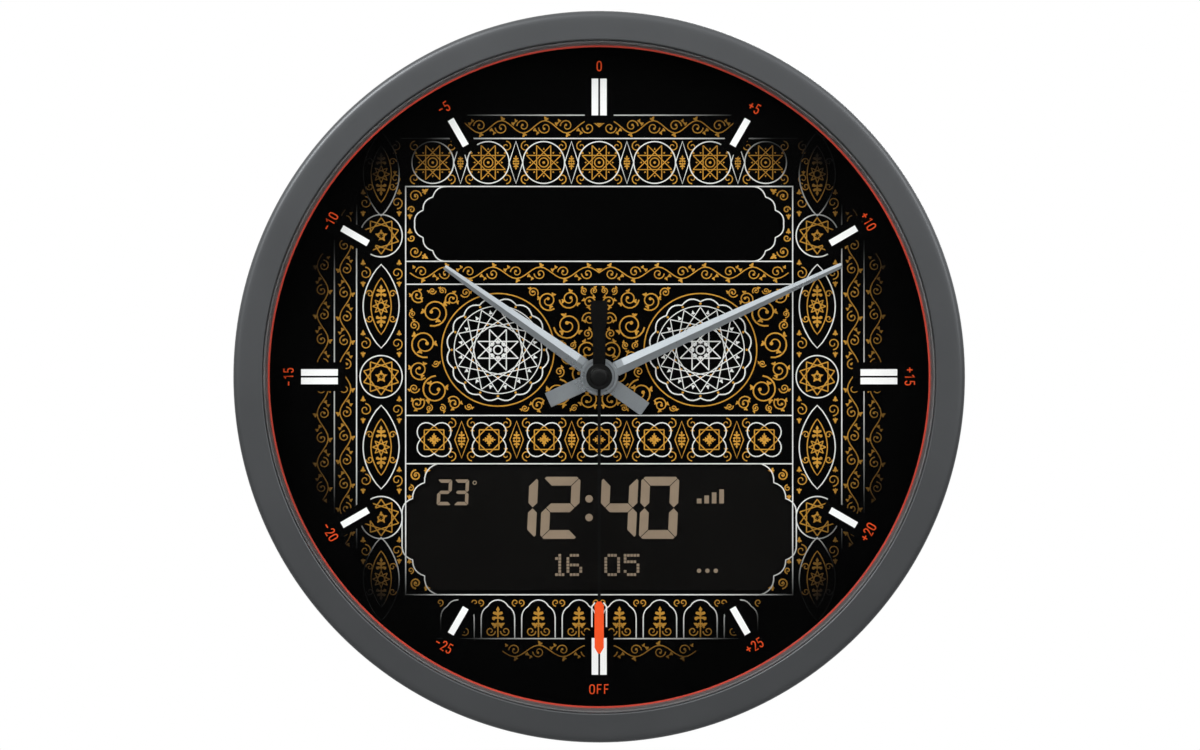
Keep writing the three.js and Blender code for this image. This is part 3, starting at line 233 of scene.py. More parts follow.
def carved(blank, *steps):
    """A mesh joined with shells or cut by them, step by step."""
    held = placed(blank.name + "_blank", faced(blank))
    tools = []
    for operation, shells in steps:
        joint = held.modifiers.new(operation, "BOOLEAN")
        joint.operation = operation
        joint.solver = "EXACT"
        joint.object = placed(blank.name + "_tool", gathered(blank.name + "_tool", shells))
        tools.append(joint.object)
    result = settled(held)
    for tool in tools:
        bpy.data.objects.remove(tool)
    return result


def grown_mesh(name, mesh, tree, values):
    """Run a geometry tree on a starting mesh and keep its result as a plain mesh."""
    start = placed(name + "_start", mesh)
    modifier = start.modifiers.new(tree.name, "NODES")
    modifier.node_group = tree
    for item in tree.interface.items_tree:
        if item.name in values:
            modifier[item.identifier] = values[item.name]
    return settled(start)


def geometry(name, **inputs):
    """An empty geometry tree with named inputs, and their sockets."""
    labels = {word.replace("_", " "): sort for word, sort in inputs.items()}
    return group(name, "Geometry", labels, {"Result": "Geometry"})[:2]


def ended(tree, shapes, material):
    """A geometry tree with its end: its instances made real, in one material."""
    real = wire(tree, "RealizeInstances", shapes)
    feed(tree.nodes["Group Output"], wire(tree, "SetMaterial", real, Material=material))
    return tree


def turning():
    """Turns a profile of (radius, y) points about a line along y through a centre."""
    tree, given = geometry("turned_piece", Profile="Geometry", Sides="Int", Centre="Vector",
                           Finish="Material")
    count = wire(tree, "AttributeDomainSize", given["Profile"]).outputs["Point Count"]
    columns = sums(tree, "ADD", given["Sides"], 1.0)
    grid = wire(tree, "MeshGrid", Size_X=1.0, Size_Y=1.0, Vertices_X=columns, Vertices_Y=count)
    here = wire(tree, "InputPosition")
    cell = wire(tree, "SeparateXYZ", here)
    angle = sums(tree, "MULTIPLY", sums(tree, "ADD", cell, 0.5), math.tau)
    last = sums(tree, "SUBTRACT", count, 1.0)
    index = sums(tree, "ROUND", sums(tree, "MULTIPLY", sums(tree, "ADD", cell.outputs[1], 0.5), last))
    point = wire(tree, "SampleIndex", given["Profile"], here, index, data_type="FLOAT_VECTOR")
    drawn = wire(tree, "SeparateXYZ", point)
    across = sums(tree, "MULTIPLY", drawn, sums(tree, "SINE", angle))
    along = sums(tree, "MULTIPLY", drawn, sums(tree, "COSINE", angle))
    place = wire(tree, "CombineXYZ", across, drawn.outputs[1], along)
    centred = wire(tree, "VectorMath", place, given["Centre"], operation="ADD")
    bent = wire(tree, "SetPosition", grid, Position=centred)
    return ended(tree, wire(tree, "MergeByDistance", Geometry=bent, Distance=1e-6), given["Finish"])


turned_piece = turning()


def turned_mesh(name, profile, material, sides, centre=(0, 0)):
    """A turned mesh. A profile that doesn't start on the axis closes on its first point."""
    points = profile if profile[0][0] == 0 else profile + profile[:1]
    mesh = mesh_of(name, [(r, y, 0.0) for r, y in points], [(i, i + 1) for i in range(len(points) - 1)])
    return grown_mesh(name, mesh, turned_piece, {
        "Sides": sides, "Centre": (centre[0] * MM, 0.0, centre[1] * MM), "Finish": material})


def extent(name):
    """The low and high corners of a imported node, in millimetres."""
    corners = [node[name].matrix_world @ point.co for point in node[name].data.vertices]
    return [[pick(c[k] for c in corners) / MM for k in range(3)] for pick in (min, max)]


def middle(name):
    """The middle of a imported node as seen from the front, in millimetres."""
    low, high = extent(name)
    return (low[0] + high[0]) / 2, (low[2] + high[2]) / 2


def halves(name):
    """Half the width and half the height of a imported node, in millimetres."""
    low, high = extent(name)
    return (high[0] - low[0]) / 2, (high[2] - low[2]) / 2


def boxed(name, grow=0.0):
    """The middle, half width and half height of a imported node, grown on all sides."""
    return (*middle(name), *(round(half + grow, 3) for half in halves(name)))


def piercing():
    """Cuts a round field of upright slots with round ends through a wall."""
    tree, given = geometry("speaker_grille", Wall="Geometry", Slots="Int", Pitch="Float", Reach="Float",
                           Slot_Width="Float", Depth="Float", Centre="Vector", Finish="Material")
    first = sums(tree, "MULTIPLY", sums(tree, "SUBTRACT", given["Slots"], 1.0), -0.5)
    start = wire(tree, "CombineXYZ", sums(tree, "MULTIPLY", first, given["Pitch"]))
    step = wire(tree, "CombineXYZ", given["Pitch"])
    row = wire(tree, "MeshLine", Count=given["Slots"], Start_Location=start, Offset=step, mode="OFFSET")
    here = wire(tree, "SeparateXYZ", wire(tree, "InputPosition"))
    whole = sums(tree, "MULTIPLY", given["Reach"], given["Reach"])
    half = sums(tree, "SQRT", sums(tree, "SUBTRACT", whole, sums(tree, "MULTIPLY", here, here)))
    sized = wire(tree, "StoreNamedAttribute", Geometry=row, Name="half", Value=half)
    radius = sums(tree, "MULTIPLY", given["Slot Width"], 0.5)
    dowel = wire(tree, "MeshCylinder", Vertices=20, Depth=given["Depth"], Radius=radius)
    level = wire(tree, "Transform", Geometry=dowel, Rotation=(math.pi / 2, math.pi / 20, 0.0))
    dowels = wire(tree, "InstanceOnPoints", Points=sized, Instance=level)
    real = wire(tree, "RealizeInstances", Geometry=dowels)
    up = sums(tree, "SUBTRACT", wire(tree, "InputNamedAttribute", Name="half"), radius)
    drawn = wire(tree, "CombineXYZ", Z=sums(tree, "MULTIPLY", sums(tree, "SIGN", here.outputs[2]), up))
    slots = wire(tree, "SetPosition", Geometry=real, Offset=drawn)
    held = wire(tree, "Transform", Geometry=slots, Translation=given["Centre"])
    sieve = wire(tree, "MeshBoolean", given["Wall"], held, operation="DIFFERENCE", solver="EXACT")
    return ended(tree, sieve, given["Finish"])


housing_abs = finish("housing_abs", "#26272a", "#17181a", 0.42, 0.6, 60, 2600, 0.00006)
BACK_WALL, FLANGE_BACK, FLANGE_FRONT = 2.5, -9.5, -12.0
RECESS, RECESS_FLOOR = (0.0, -72.0, 62.0, 14.0), -6.0
DOOR_LEDGE, HANGER_LEDGE, SEAT_GAP = 2.4, 4.0, 0.2
BAY, BAY_FLOOR = boxed("battery_door", -DOOR_LEDGE), -16.7
POCKET, POCKET_FLOOR = boxed("hanger_plate", -HANGER_LEDGE), -8.0
GRILLE = middle("speaker_cone")
KEYS = [middle(f"key_{k}") for k in range(1, 5)]
SLIDER, VOLUME = middle("switch_slider"), middle("volume_wheel")
SCREWS, FIRST_SCREW = 6, middle("case_screw_1")
SCREW_RADIUS = round(math.hypot(*FIRST_SCREW), 3)
SCREW_ANGLE = round(math.degrees(math.atan2(*FIRST_SCREW)), 3)

low, high = extent("rear_housing")
FLANGE_OUT, COLLAR_FRONT = round(high[0], 3), round(low[1], 3)
COLLAR_OUT, COLLAR_IN = round(extent("dial_plate")[1][0], 3), 151.0
profile = [(0, 0), (50, 0), (100, 0), (141.4, 0), (142.5, -0.1), (143.4, -0.45), (143.9, -1.05),
           (148.0, -8.6), (148.4, -9.15), (149.2, FLANGE_BACK), (161.3, FLANGE_BACK), (FLANGE_OUT, -9.8),
           (FLANGE_OUT, FLANGE_FRONT), (COLLAR_OUT, FLANGE_FRONT), (COLLAR_OUT, -25.7), (153.0, COLLAR_FRONT),
           (151.2, COLLAR_FRONT), (COLLAR_IN, -25.7), (COLLAR_IN, FLANGE_FRONT), (146, FLANGE_FRONT),
           (141.5, -BACK_WALL), (0, -BACK_WALL)]
TRAY_WALL, SEAT_RIM, CONTROL_SEAT = 1.5, 1.3, ((-5, 1.4), (-6.4, 0), (-9, 0))
trays = [plug(((-1.2, 0), (floor - wall, 0)), round_box, *tray[:2], tray[2] + wall, tray[3] + wall, corner)
         for tray, floor, wall, corner in (
             (RECESS, RECESS_FLOOR, BACK_WALL, 3.5), (BAY, BAY_FLOOR, TRAY_WALL, 3.0),
             (POCKET, POCKET_FLOOR, TRAY_WALL, 3.0))]
screw_places = [at(0, 0, SCREW_RADIUS, SCREW_ANGLE + 360 / SCREWS * k) for k in range(SCREWS)]
hollows = [
    plug(((1, 1.6), (-0.6, 0), (-5.5, -0.1), (RECESS_FLOOR, -0.6)), round_box, *RECESS, 3.0),
    plug(((1, 0), (BAY_FLOOR, 0)), round_box, *BAY, 1.5),
    plug(((1, 0), (POCKET_FLOOR, 0)), round_box, *POCKET, 1.5),
] + [plug(((-8, 0.6), (-9.8, 0), (-13, 0)), circle, *place, 1.7) for place in screw_places]
seats = [
    plug(((1, SEAT_RIM), (-0.3, 0), (-1.8, 0)), round_box, *boxed("battery_door", SEAT_GAP), 2.2),
    plug(((1, SEAT_RIM), (-0.3, 0), (-1.6, 0)), round_box, *boxed("hanger_plate", SEAT_GAP), 0.6),
    plug(CONTROL_SEAT, circle, *VOLUME, 8.3),
    plug(((-5, SEAT_RIM), (-6.3, 0), (-9, 0)), round_box, SLIDER[0] + 2, SLIDER[1], 5.25, 2.25, 0.6),
] + [plug(CONTROL_SEAT, circle, *place, 4.3) for place in KEYS]
blank = turned_mesh("housing", profile, housing_abs, 192)
hollowed = carved(blank, ("UNION", trays), ("DIFFERENCE", hollows), ("DIFFERENCE", seats))
pierced = grown_mesh("housing_shell", hollowed, piercing(), {
    "Slots": 9, "Pitch": 6.22 * MM, "Reach": 28.0 * MM, "Slot Width": 2.0 * MM, "Depth": 8.0 * MM,
    "Centre": (GRILLE[0] * MM, 0.0, GRILLE[1] * MM), "Finish": housing_abs})
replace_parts(seat_piece("housing_shell", pierced, "case", "housing", 25), "rear_housing")

# Hanger plate. Stamped zinc-plated steel with a keyhole for the wall screw, pressed into a pocket
# of the housing.


def dress(material, *names):
    """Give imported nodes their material."""
    for name in names:
        mesh = node[name].data
        mesh.materials.clear()
        mesh.materials.append(material)


plated_steel = finish("plated_steel", "#c9ccd0", "#8f949a", 0.24, 0.44, 140, 900, 0.00002, Metallic=0.9)
dress(plated_steel, "hanger_plate")

# Circuit board behind the display. Green solder mask over copper tracks, with the key switches, the
# slide switch and the volume control soldered to its back, a chip and a capacitor in a free column.
board_mask = finish("board_mask", "#1f6a3c", "#134c2a", 0.3, 0.42, 300, 1500, 0.00003)
chip_epoxy = finish("chip_epoxy", "#26262a", "#151517", 0.5, 0.66, 400, 4000, 0.00002)
seal_rubber = finish("seal_rubber", "#3a3b3d", "#232425", 0.7, 0.85, 200, 3000, 0.00004)
dress(board_mask, "main_board")
dress(chip_epoxy, "clock_chip", "capacitor")
dress(seal_rubber, "zebra_strip")

# Controls in the recess. Four dished rubber keys, a slide switch knob with ribs and a knurled volume
# wheel that turns on the control behind it. A white dot on the wheel shows how far it is turned.


def grown(name, mesh, tree, values, **facts):
    """Run a geometry tree on a starting mesh and seat its result."""
    return seat_piece(name, grown_mesh(name, mesh, tree, values), **facts)


def turned(name, profile, material, sides=192, smooth=30, centre=(0, 0), **facts):
    """A turned piece."""
    return seat_piece(name, turned_mesh(name, profile, material, sides, centre), smooth=smooth, **facts)


def shell_piece(name, shells, material, **facts):
    """A piece of closed shells."""
    return seat_piece(name, gathered(name, shells, material), **facts)


def prism(outlines, back, front):
    """One closed plate, drawn as seen from the front: an outline, then its holes."""
    flat = [point for line in outlines for point in line]
    size = len(flat)
    if len(outlines) == 1 and size < 5:
        caps = [range(size)]
    else:
        caps = tessellate_polygon([[(x, z, 0.0) for x, z in line] for line in outlines])
    faces = [side for cap in caps for side in (list(cap), [size + i for i in reversed(cap)])]
    first = 0
    for line in outlines:
        for i in range(len(line)):
            j = (i + 1) % len(line)
            faces.append((first + i, first + j, first + j + size, first + i + size))
        first += len(line)
    return [(x, y, z) for y in (front, back) for x, z in flat], faces


def prisms(name, plates, back, front, material, **facts):
    """A piece of several closed plates of one thickness."""
    drawn = [plate if isinstance(plate[0][0], (list, tuple)) else [plate] for plate in plates]
    return shell_piece(name, [prism(outlines, back, front) for outlines in drawn], material, **facts)


def sowing():
    """Sets one leaf down at each point, turned and sized as the point says."""
    tree, given = geometry("printed_leaves", Places="Geometry", Leaf="Object", Ink="Material")
    leaf = wire(tree, "ObjectInfo", Object=given["Leaf"]).outputs["Geometry"]
    turn, size = (wire(tree, "InputNamedAttribute", Name=label) for label in ("turn", "size"))
    euler = wire(tree, "CombineXYZ", Y=sums(tree, "MULTIPLY", turn, -1.0))
    scale = wire(tree, "CombineXYZ", size, 1.0, size)
    turned_by = wire(tree, "EulerToRotation", euler)
    laid = wire(tree, "InstanceOnPoints", given["Places"], Instance=leaf, Scale=scale, Rotation=turned_by)
    return ended(tree, laid, given["Ink"])


printed_leaves = sowing()


def noted(mesh, **values):
    """A mesh with a named number at each of its points."""
    for label, numbers in values.items():
        mesh.attributes.new(label, "FLOAT", "POINT").data.foreach_set("value", numbers)
    return mesh


def sown(name, places, outline, depth, ink, **facts):
    """A piece of like small plates, one at each place of (x, y, z, turn in degrees, size)."""
    verts, faces = prism([outline], 0.0, -depth)
    motif = placed(name + "_motif", mesh_of(name + "_motif", verts, (), faces))
    points = noted(mesh_of(name, [place[:3] for place in places]),
                   turn=[math.radians(place[3]) for place in places], size=[place[4] for place in places])
    piece = grown(name, points, printed_leaves, {"Leaf": motif, "Ink": ink}, **facts)
    bpy.data.objects.remove(motif)
    return piece


def oblong(x, z, wide, tall):
    """The corners of an upright rectangle, from its upper left one."""
    return [(x, z), (x + wide, z), (x + wide, z - tall), (x, z - tall)]


key_rubber = finish("key_rubber", "#53565b", "#3d4045", 0.6, 0.78, 260, 3200, 0.00005)
knob_abs = finish("knob_abs", "#3a3c40", "#2a2c2f", 0.42, 0.56, 120, 2600, 0.00004)
mark_white = finish("mark_white", "#d2d2d0", "#c2c2c0", 0.5, 0.62, 120, 2600)
low, high = extent("key_1")
CAP_TOP, FLANGE_TOP, FLANGE_FOOT = high[1], -8.7, -9.9
KEY_RADIUS, KEY_FLANGE, KEY_FOOT = 4.0, halves("key_1")[0], low[1]
key_profile = [(0, CAP_TOP - 0.4), (1.6, CAP_TOP - 0.35), (2.7, CAP_TOP - 0.16), (3.2, CAP_TOP - 0.02),
               (3.6, CAP_TOP - 0.05), (3.9, CAP_TOP - 0.25), (KEY_RADIUS, CAP_TOP - 0.6),
               (KEY_RADIUS, FLANGE_TOP), (KEY_FLANGE, FLANGE_TOP), (KEY_FLANGE, FLANGE_FOOT),
               (KEY_RADIUS, FLANGE_FOOT), (KEY_RADIUS, KEY_FOOT), (0, KEY_FOOT)]
for number, place in enumerate(KEYS, start=1):
    cap = turned(f"key_cap_{number}", key_profile, key_rubber, sides=48, centre=place, body=f"key_{number}",
                 slot="rubber")
    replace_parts(cap, f"key_{number}")
cap_box = (*SLIDER, 3.0, 2.0, 0.6)
knob = shell_piece("slider_knob", [
    plug(((CAP_TOP - 0.7, -0.35), (CAP_TOP - 1.0, 0), (FLANGE_TOP, 0)), round_box, *cap_box),
    plug(((FLANGE_TOP, 0), (FLANGE_FOOT, 0)), round_box, *boxed("switch_slider"), 0.4),
    plug(((FLANGE_FOOT, 0), (extent("switch_slider")[0][1], 0)), round_box, *cap_box),
], knob_abs, body="switch_slider", slot="rubber", smooth=30)
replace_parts(knob, "switch_slider")
rib = [(0.26, -1.5), (0.26, 1.5), (-0.26, 1.5), (-0.26, -1.5)]
places = [(SLIDER[0] + step, CAP_TOP - 0.68, SLIDER[1], 0, 1) for step in (-1.5, -0.5, 0.5, 1.5)]
sown("slider_ribs", places, rib, -0.66, knob_abs, body="switch_slider", slot="rubber")
WHEEL_RADIUS, STEM_RADIUS, STEM_FOOT = 7.4, 1.6, extent("volume_wheel")[0][1]
wheel_profile = [(0, CAP_TOP - 0.3), (6.2, CAP_TOP - 0.3), (6.7, CAP_TOP), (7.1, CAP_TOP),
                 (WHEEL_RADIUS, CAP_TOP - 0.4), (WHEEL_RADIUS, FLANGE_TOP), (STEM_RADIUS, FLANGE_TOP),
                 (STEM_RADIUS, STEM_FOOT), (0, STEM_FOOT)]
wheel = turned("volume_knob", wheel_profile, knob_abs, sides=72, centre=VOLUME, body="volume_wheel",
               slot="rubber")
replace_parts(wheel, "volume_wheel")
knurl = [(-0.2, 0.26), (0.42, 0.2), (0.6, 0.0), (0.42, -0.2), (-0.2, -0.26)]
places = [(x, FLANGE_TOP + 0.1, z, 90 - angle, 1)
          for angle in range(0, 360, 10) for x, z in [at(*VOLUME, WHEEL_RADIUS - 0.05, angle)]]
sown("volume_knurls", places, knurl, -4.1, knob_abs, body="volume_wheel", slot="rubber")
dot_place = (VOLUME[0], CAP_TOP - 0.32, VOLUME[1] + 4.4, 0, 1)
sown("volume_dot", [dot_place], circle(0, 0, 0.8, count=18), -0.08, mark_white, body="volume_wheel",
     slot="rubber")
marks = []
for number, (x, _) in enumerate(KEYS):
    marks.append(oblong(x - 1.3, -61.8, 2.6, 0.5))
    if number % 2:
        marks += [oblong(x - 0.25, z, 0.5, 1.05) for z in (-60.75, -62.3)]
marks += [oblong(SLIDER[0] + 2 + side - 0.25, -66.2, 0.5, 1.8) for side in (-2.0, 2.0)]
prisms("recess_marks", marks, RECESS_FLOOR - 0.1, RECESS_FLOOR + 0.05, mark_white, slot="housing")

# Speaker. A pressed steel basket, a paper cone with a rolled edge and a ferrite magnet, glued to one
# another and fixed behind the grille.
cone_paper = finish("cone_paper", "#2b2a28", "#191817", 0.8, 0.95, 500, 2200, 0.00012)
ferrite = finish("ferrite", "#4a4a4d", "#2d2d30", 0.5, 0.75, 700, 2600, 0.00008)
dress(plated_steel, "speaker_frame")
dress(cone_paper, "speaker_cone")
dress(ferrite, "speaker_magnet", "time_rotor", "index_rotor")

# Battery bay. Three cells in a printed sleeve with a copper band, turn about, between sprung and
# flat contacts, under a door with three finger grooves.
cell_sleeve = finish("cell_sleeve", "#3c5d86", "#27466b", 0.22, 0.36, 90, 1800)
cell_band = finish("cell_band", "#c98a4b", "#a86d33", 0.24, 0.36, 90, 1800, Metallic=0.5)
NUB = 1.2


def along_x(cell, flip, points):
    """A closed shell turned about a cell's line, from (distance from the flat end, radius) points."""
    low, high = extent(cell)
    y, z = (low[1] + high[1]) / 2, (low[2] + high[2]) / 2
    flat_end = low[0] if flip > 0 else high[0]
    turns = [math.tau * i / 40 for i in range(40)]
    return loft([[(flat_end + flip * reach, y + radius * math.cos(a), z + radius * math.sin(a))
                  for a in turns] for reach, radius in points])


bands, ends = [], []
for number, flip in ((1, 1), (2, -1), (3, 1)):
    cell = f"cell_{number}"
    low, high = extent(cell)
    can, full = high[0] - low[0] - NUB, (high[2] - low[2]) / 2
    sleeve = along_x(cell, flip, [(0.25, 0.9 * full), (0.45, 0.97 * full), (0.9, full), (can - 0.8, full),
                                  (can - 0.4, 0.98 * full), (can - 0.4, 0.86 * full)])
    band = [(can - 9.5, full - 0.05), (can - 9.5, full + 0.02), (can - 1.2, full + 0.02),
            (can - 1.2, full - 0.05)]
    flat_end = [(0, 0.8 * full), (0, 0.9 * full), (0.3, 0.93 * full), (0.3, 0.8 * full)]
    nub_end = [(can - 0.5, 0.88 * full), (can - 0.1, 0.85 * full), (can, 2.9), (can + 0.15, 2.7),
               (can + NUB - 0.2, 2.6), (can + NUB - 0.05, 2.4), (can + NUB, 1.4)]
    bands.append(along_x(cell, flip, band))
    ends += [along_x(cell, flip, points) for points in (flat_end, nub_end)]
    piece = shell_piece(f"cell_sleeve_{number}", [sleeve], cell_sleeve, slot="battery", smooth=30)
    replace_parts(piece, cell)
shell_piece("cell_bands", bands, cell_band, slot="battery", smooth=30)
shell_piece("cell_ends", ends, plated_steel, slot="steel", smooth=30)
dress(plated_steel, "contact_positive", "contact_link_left", "contact_link_right", "contact_negative")
low, high = extent("battery_door")
levels = ((high[1], -0.4), (high[1] - 0.35, 0), (low[1], 0))
plate = gathered("door_plate", [plug(levels, round_box, *BAY[:2], *halves("battery_door"), 2.2)], housing_abs)
levels = ((1, 0.5), (high[1] - 0.3, 0), (high[1] - 0.7, -0.1))
grooves = [plug(levels, round_box, BAY[0], low[2] + rise, 9.95, 0.6, 0.55) for rise in (3.6, 7.2, 10.8)]
door = carved(plate, ("DIFFERENCE", grooves))
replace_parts(seat_piece("door_plate", door, "battery_door", "housing", 25), "battery_door")

# Leads. Copper wire in red PVC, from the speaker, the cells and the movement to the board, soldered
# at their ends.
lead_pvc = finish("lead_pvc", "#b23a34", "#8c2a26", 0.4, 0.55, 200, 2000, 0.00003)
dress(lead_pvc, "speaker_lead", "battery_lead", "movement_lead")

# Movement. Two stepping motors with steel cores and copper coils, and their acetal wheels, between
# a moulded case and its cover.
movement_abs = finish("movement_abs", "#3f4144", "#2a2c2e", 0.45, 0.6, 120, 2200, 0.00005)
wheel_acetal = finish("wheel_acetal", "#e6e4da", "#cfccc0", 0.35, 0.5, 200, 1800, 0.00002)
coil_copper = finish("coil_copper", "#c8703a", "#8f4620", 0.28, 0.42, 160, 1200, 0.00003,
                     stretch=(6, 1, 1), Metallic=0.9)
core_steel = finish("core_steel", "#a3a7ab", "#74787c", 0.3, 0.48, 160, 900, 0.00002, Metallic=0.9)
dress(movement_abs, "movement_case", "movement_cover")
dress(wheel_acetal, "hour_wheel", "centre_wheel", "motion_wheel", "second_wheel", "first_wheel",
      "index_wheel", "index_idler")
dress(coil_copper, "time_coil", "index_coil")
dress(core_steel, "time_stator", "index_stator")

# Display. A liquid crystal cell with a black ground and taupe segments, in a frame behind the window.
# The plain figures lie a hair in front of the glass.
display_ground = finish("display_ground", "#0f0e0d", "#0a0908", 0.3, 0.36, 12, 2600, 4e-6,
                        Specular_IOR_Level=0.06)
carrier_abs = finish("carrier_abs", "#9a9c9e", "#7d7f82", 0.5, 0.62, 90, 1600, 0.00004)
dress(display_ground, "lcd_panel")
dress(carrier_abs, "lcd_frame", "dial_carrier")
display_ink = finish("display_ink", "#8b7a67", "#817160", 0.5, 0.6, 90, 2400, Specular_IOR_Level=0.1)
DISPLAY_FRONT, INK_DEPTH = extent("lcd_panel")[0][1] - 0.02, 0.05


# The seven bars of a figure, each from a start to an end on a box of one by one, taken clockwise,
# and whether each of its two ends lies in a corner of the figure
BARS = {"a": (0, 1, 1, 1, 1, 1), "b": (1, 1, 1, 0.5, 1, 0), "c": (1, 0.5, 1, 0, 0, 1),
        "d": (1, 0, 0, 0, 1, 1), "e": (0, 0, 0, 0.5, 1, 0), "f": (0, 0.5, 0, 1, 0, 1),
        "g": (0, 0.5, 1, 0.5, 0, 0)}
FIGURES = {"0": "abcdef", "1": "bc", "2": "abged", "3": "abgcd", "4": "fgbc"}


def bar_end(corner, half, gap):
    """One end of a bar from its inner to its outer side: a mitre with a cut corner, or a point."""
    if not corner:
        return [(half + gap, half), (gap, 0.0), (half + gap, -half)]
    cut = 0.36 * half
    return [(half + gap, half), (gap - half + cut, cut - half), (2.3 * cut - half, -half)]


def figure(digit, left, foot, width, height, stroke, gap, slant):
    """The bars of one figure as six-sided plates."""
    plates = []
    half = stroke / 2
    for letter in FIGURES[digit]:
        x0, z0, x1, z1, first, last = BARS[letter]
        x0, x1 = (left + half + x * (width - stroke) for x in (x0, x1))
        z0, z1 = (foot + half + z * (height - stroke) for z in (z0, z1))
        length = math.hypot(x1 - x0, z1 - z0)
        ux, uz = (x1 - x0) / length, (z1 - z0) / length
        outline = bar_end(first, half, gap) + [(length - a, b) for a, b in reversed(bar_end(last, half, gap))]
        points = [(x0 + ux * a + uz * b, z0 + uz * a - ux * b) for a, b in outline]
        plates.append([(x + (z - foot) * slant, z) for x, z in points])
    return plates


SLANT = 0.045
plates = []
for digit, left, width in (("1", -46.1, 17.2), ("2", -26.9, 17.2), ("4", 0.0, 16.6), ("0", 18.0, 17.2)):
    plates += figure(digit, left, -73.7, width, 28.2, 4.0, 0.22, SLANT)
for digit, left in (("2", -73.9), ("3", -66.2)):
    plates += figure(digit, left, -58.4, 6.6, 11.7, 1.5, 0.12, SLANT)
plates += [circle(-4.6, z, 1.7, count=24) for z in (-55.5, -64.0)]
plates.append([circle(-56.6, -48.2, 0.95, count=24), circle(-56.6, -48.2, 0.55, count=12)])
DOT_ROWS = {"1": (2, 6, 2, 2, 2, 2, 7), "6": (14, 16, 16, 30, 17, 17, 14), "0": (14, 17, 17, 17, 17, 17, 14),
            "5": (31, 16, 30, 1, 1, 17, 14)}
DOT_PITCH, DOT = 1.46, 1.2
for digit, left in (("1", -22.9), ("6", -14.8), ("0", 2.4), ("5", 11.2)):
    for row, bits in enumerate(DOT_ROWS[digit]):
        plates += [oblong(left + column * DOT_PITCH, -80.6 - row * DOT_PITCH, DOT, DOT)
                   for column in range(5) if bits >> (4 - column) & 1]
plates += [oblong(44.4 + 3.4 * i, -57.6, 2.1, -tall) for i, tall in enumerate((2.2, 3.6, 5.0, 6.4))]
plates += [circle(x, -88.2, 1.0, count=18) for x in (45.4, 49.2, 53.0)]
prisms("display_figures", plates, DISPLAY_FRONT, DISPLAY_FRONT - INK_DEPTH, display_ink, slot="display")

# Dial plate. A black lacquered aluminium disc with a scalloped window for the display. The rim and
# the rings hide its edge.
WINDOW_HALF, WINDOW_TOP, WINDOW_FOOT, WINDOW_CORNER = 89.0, -40.1, -98.5, (16.0, 22.6)
low, high = extent("dial_plate")
DIAL_BACK, DIAL_FRONT, DIAL_RADIUS, DIAL_HOLE = high[1], low[1], high[0], 7.2


def scallops(points, bulge, count=6):
    """Bulged arcs between neighbouring points, each bulging to its left."""
    line = []
    for (x0, z0), (x1, z1) in zip(points, points[1:]):
        dx, dz = x1 - x0, z1 - z0
        for i in range(count):
            t = i / count
            lift = bulge * 4 * t * (1 - t)
            line.append((x0 + dx * t - dz * lift, z0 + dz * t + dx * lift))
    line.append(points[-1])
    return line


def window_outline(grow):
    """The window's outline, grown on all sides: straight above and below, three scallops a corner."""
    half, top, foot = WINDOW_HALF + grow, WINDOW_TOP + grow, WINDOW_FOOT - grow
    wide, tall = WINDOW_CORNER
    steps = [(1, 0), (0.64, 0.38), (0.3, 0.7), (0, 1)]
    right = scallops([(half - wide * a, top - tall * b) for a, b in steps], 0.19)
    low = scallops([(half - wide * a, foot + tall * b) for a, b in reversed(steps)], 0.19)
    left = [(-x, z) for x, z in reversed(right + low)]
    return right + low + left


dial_lacquer = finish("dial_lacquer", "#030303", "#010101", 0.5, 0.62, 30, 3000, Specular_IOR_Level=0.02)
outlines = [circle(0, 0, DIAL_RADIUS, count=180), window_outline(0), circle(0, 0, DIAL_HOLE)]
dial_plate = prisms("dial_disc", [outlines], DIAL_BACK, DIAL_FRONT, dial_lacquer, slot="dial")
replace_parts(dial_plate, "dial_plate")

# Printed ornament. Gold vines and white lines screened on the dial: running vines, rosettes in
# lobed medallions, stars and quatrefoils. It fades to black towards the edge of the dial.


def fade_effect():
    """A share that falls from one to nothing between two distances from the dial's centre."""
    tree, given, result = group("dial_edge_fade", "Shader", {"Start": "Float", "End": "Float"},
                                {"Share": "Float"})
    place = wire(tree, "TexCoord").outputs["Object"]
    level = wire(tree, "VectorMath", place, (1, 0, 1), operation="MULTIPLY")
    reach = wire(tree, "VectorMath", level, operation="LENGTH").outputs["Value"]
    share = wire(tree, "MapRange", reach, given["Start"], given["End"], 1.0, 0.0,
                 interpolation_type="SMOOTHSTEP")
    feed(result, share)
    return tree


dial_edge_fade = fade_effect()


def faded(material, start, end):
    """Let a finish fade to black towards the dial's edge."""
    tree = material.node_tree
    shader = tree.nodes["Principled BSDF"]
    fade = wire(tree, "Group", Start=start * MM, End=end * MM, node_tree=dial_edge_fade)
    colour = shader.inputs["Base Color"].links[0].from_socket
    feed(shader, wire(tree, "Mix", fade, (0.001, 0.001, 0.001, 1.0), colour, data_type="RGBA"))


gold_print = finish("gold_print", "#d29b3e", "#ad7a29", 0.45, 0.6, 240, 2600, Specular_IOR_Level=0.1)
white_print = finish("white_print", "#e6e6e4", "#d6d6d4", 0.5, 0.6, 120, 2600, Specular_IOR_Level=0.1)
faded(gold_print, 100, 144)
faded(white_print, 109, 135)


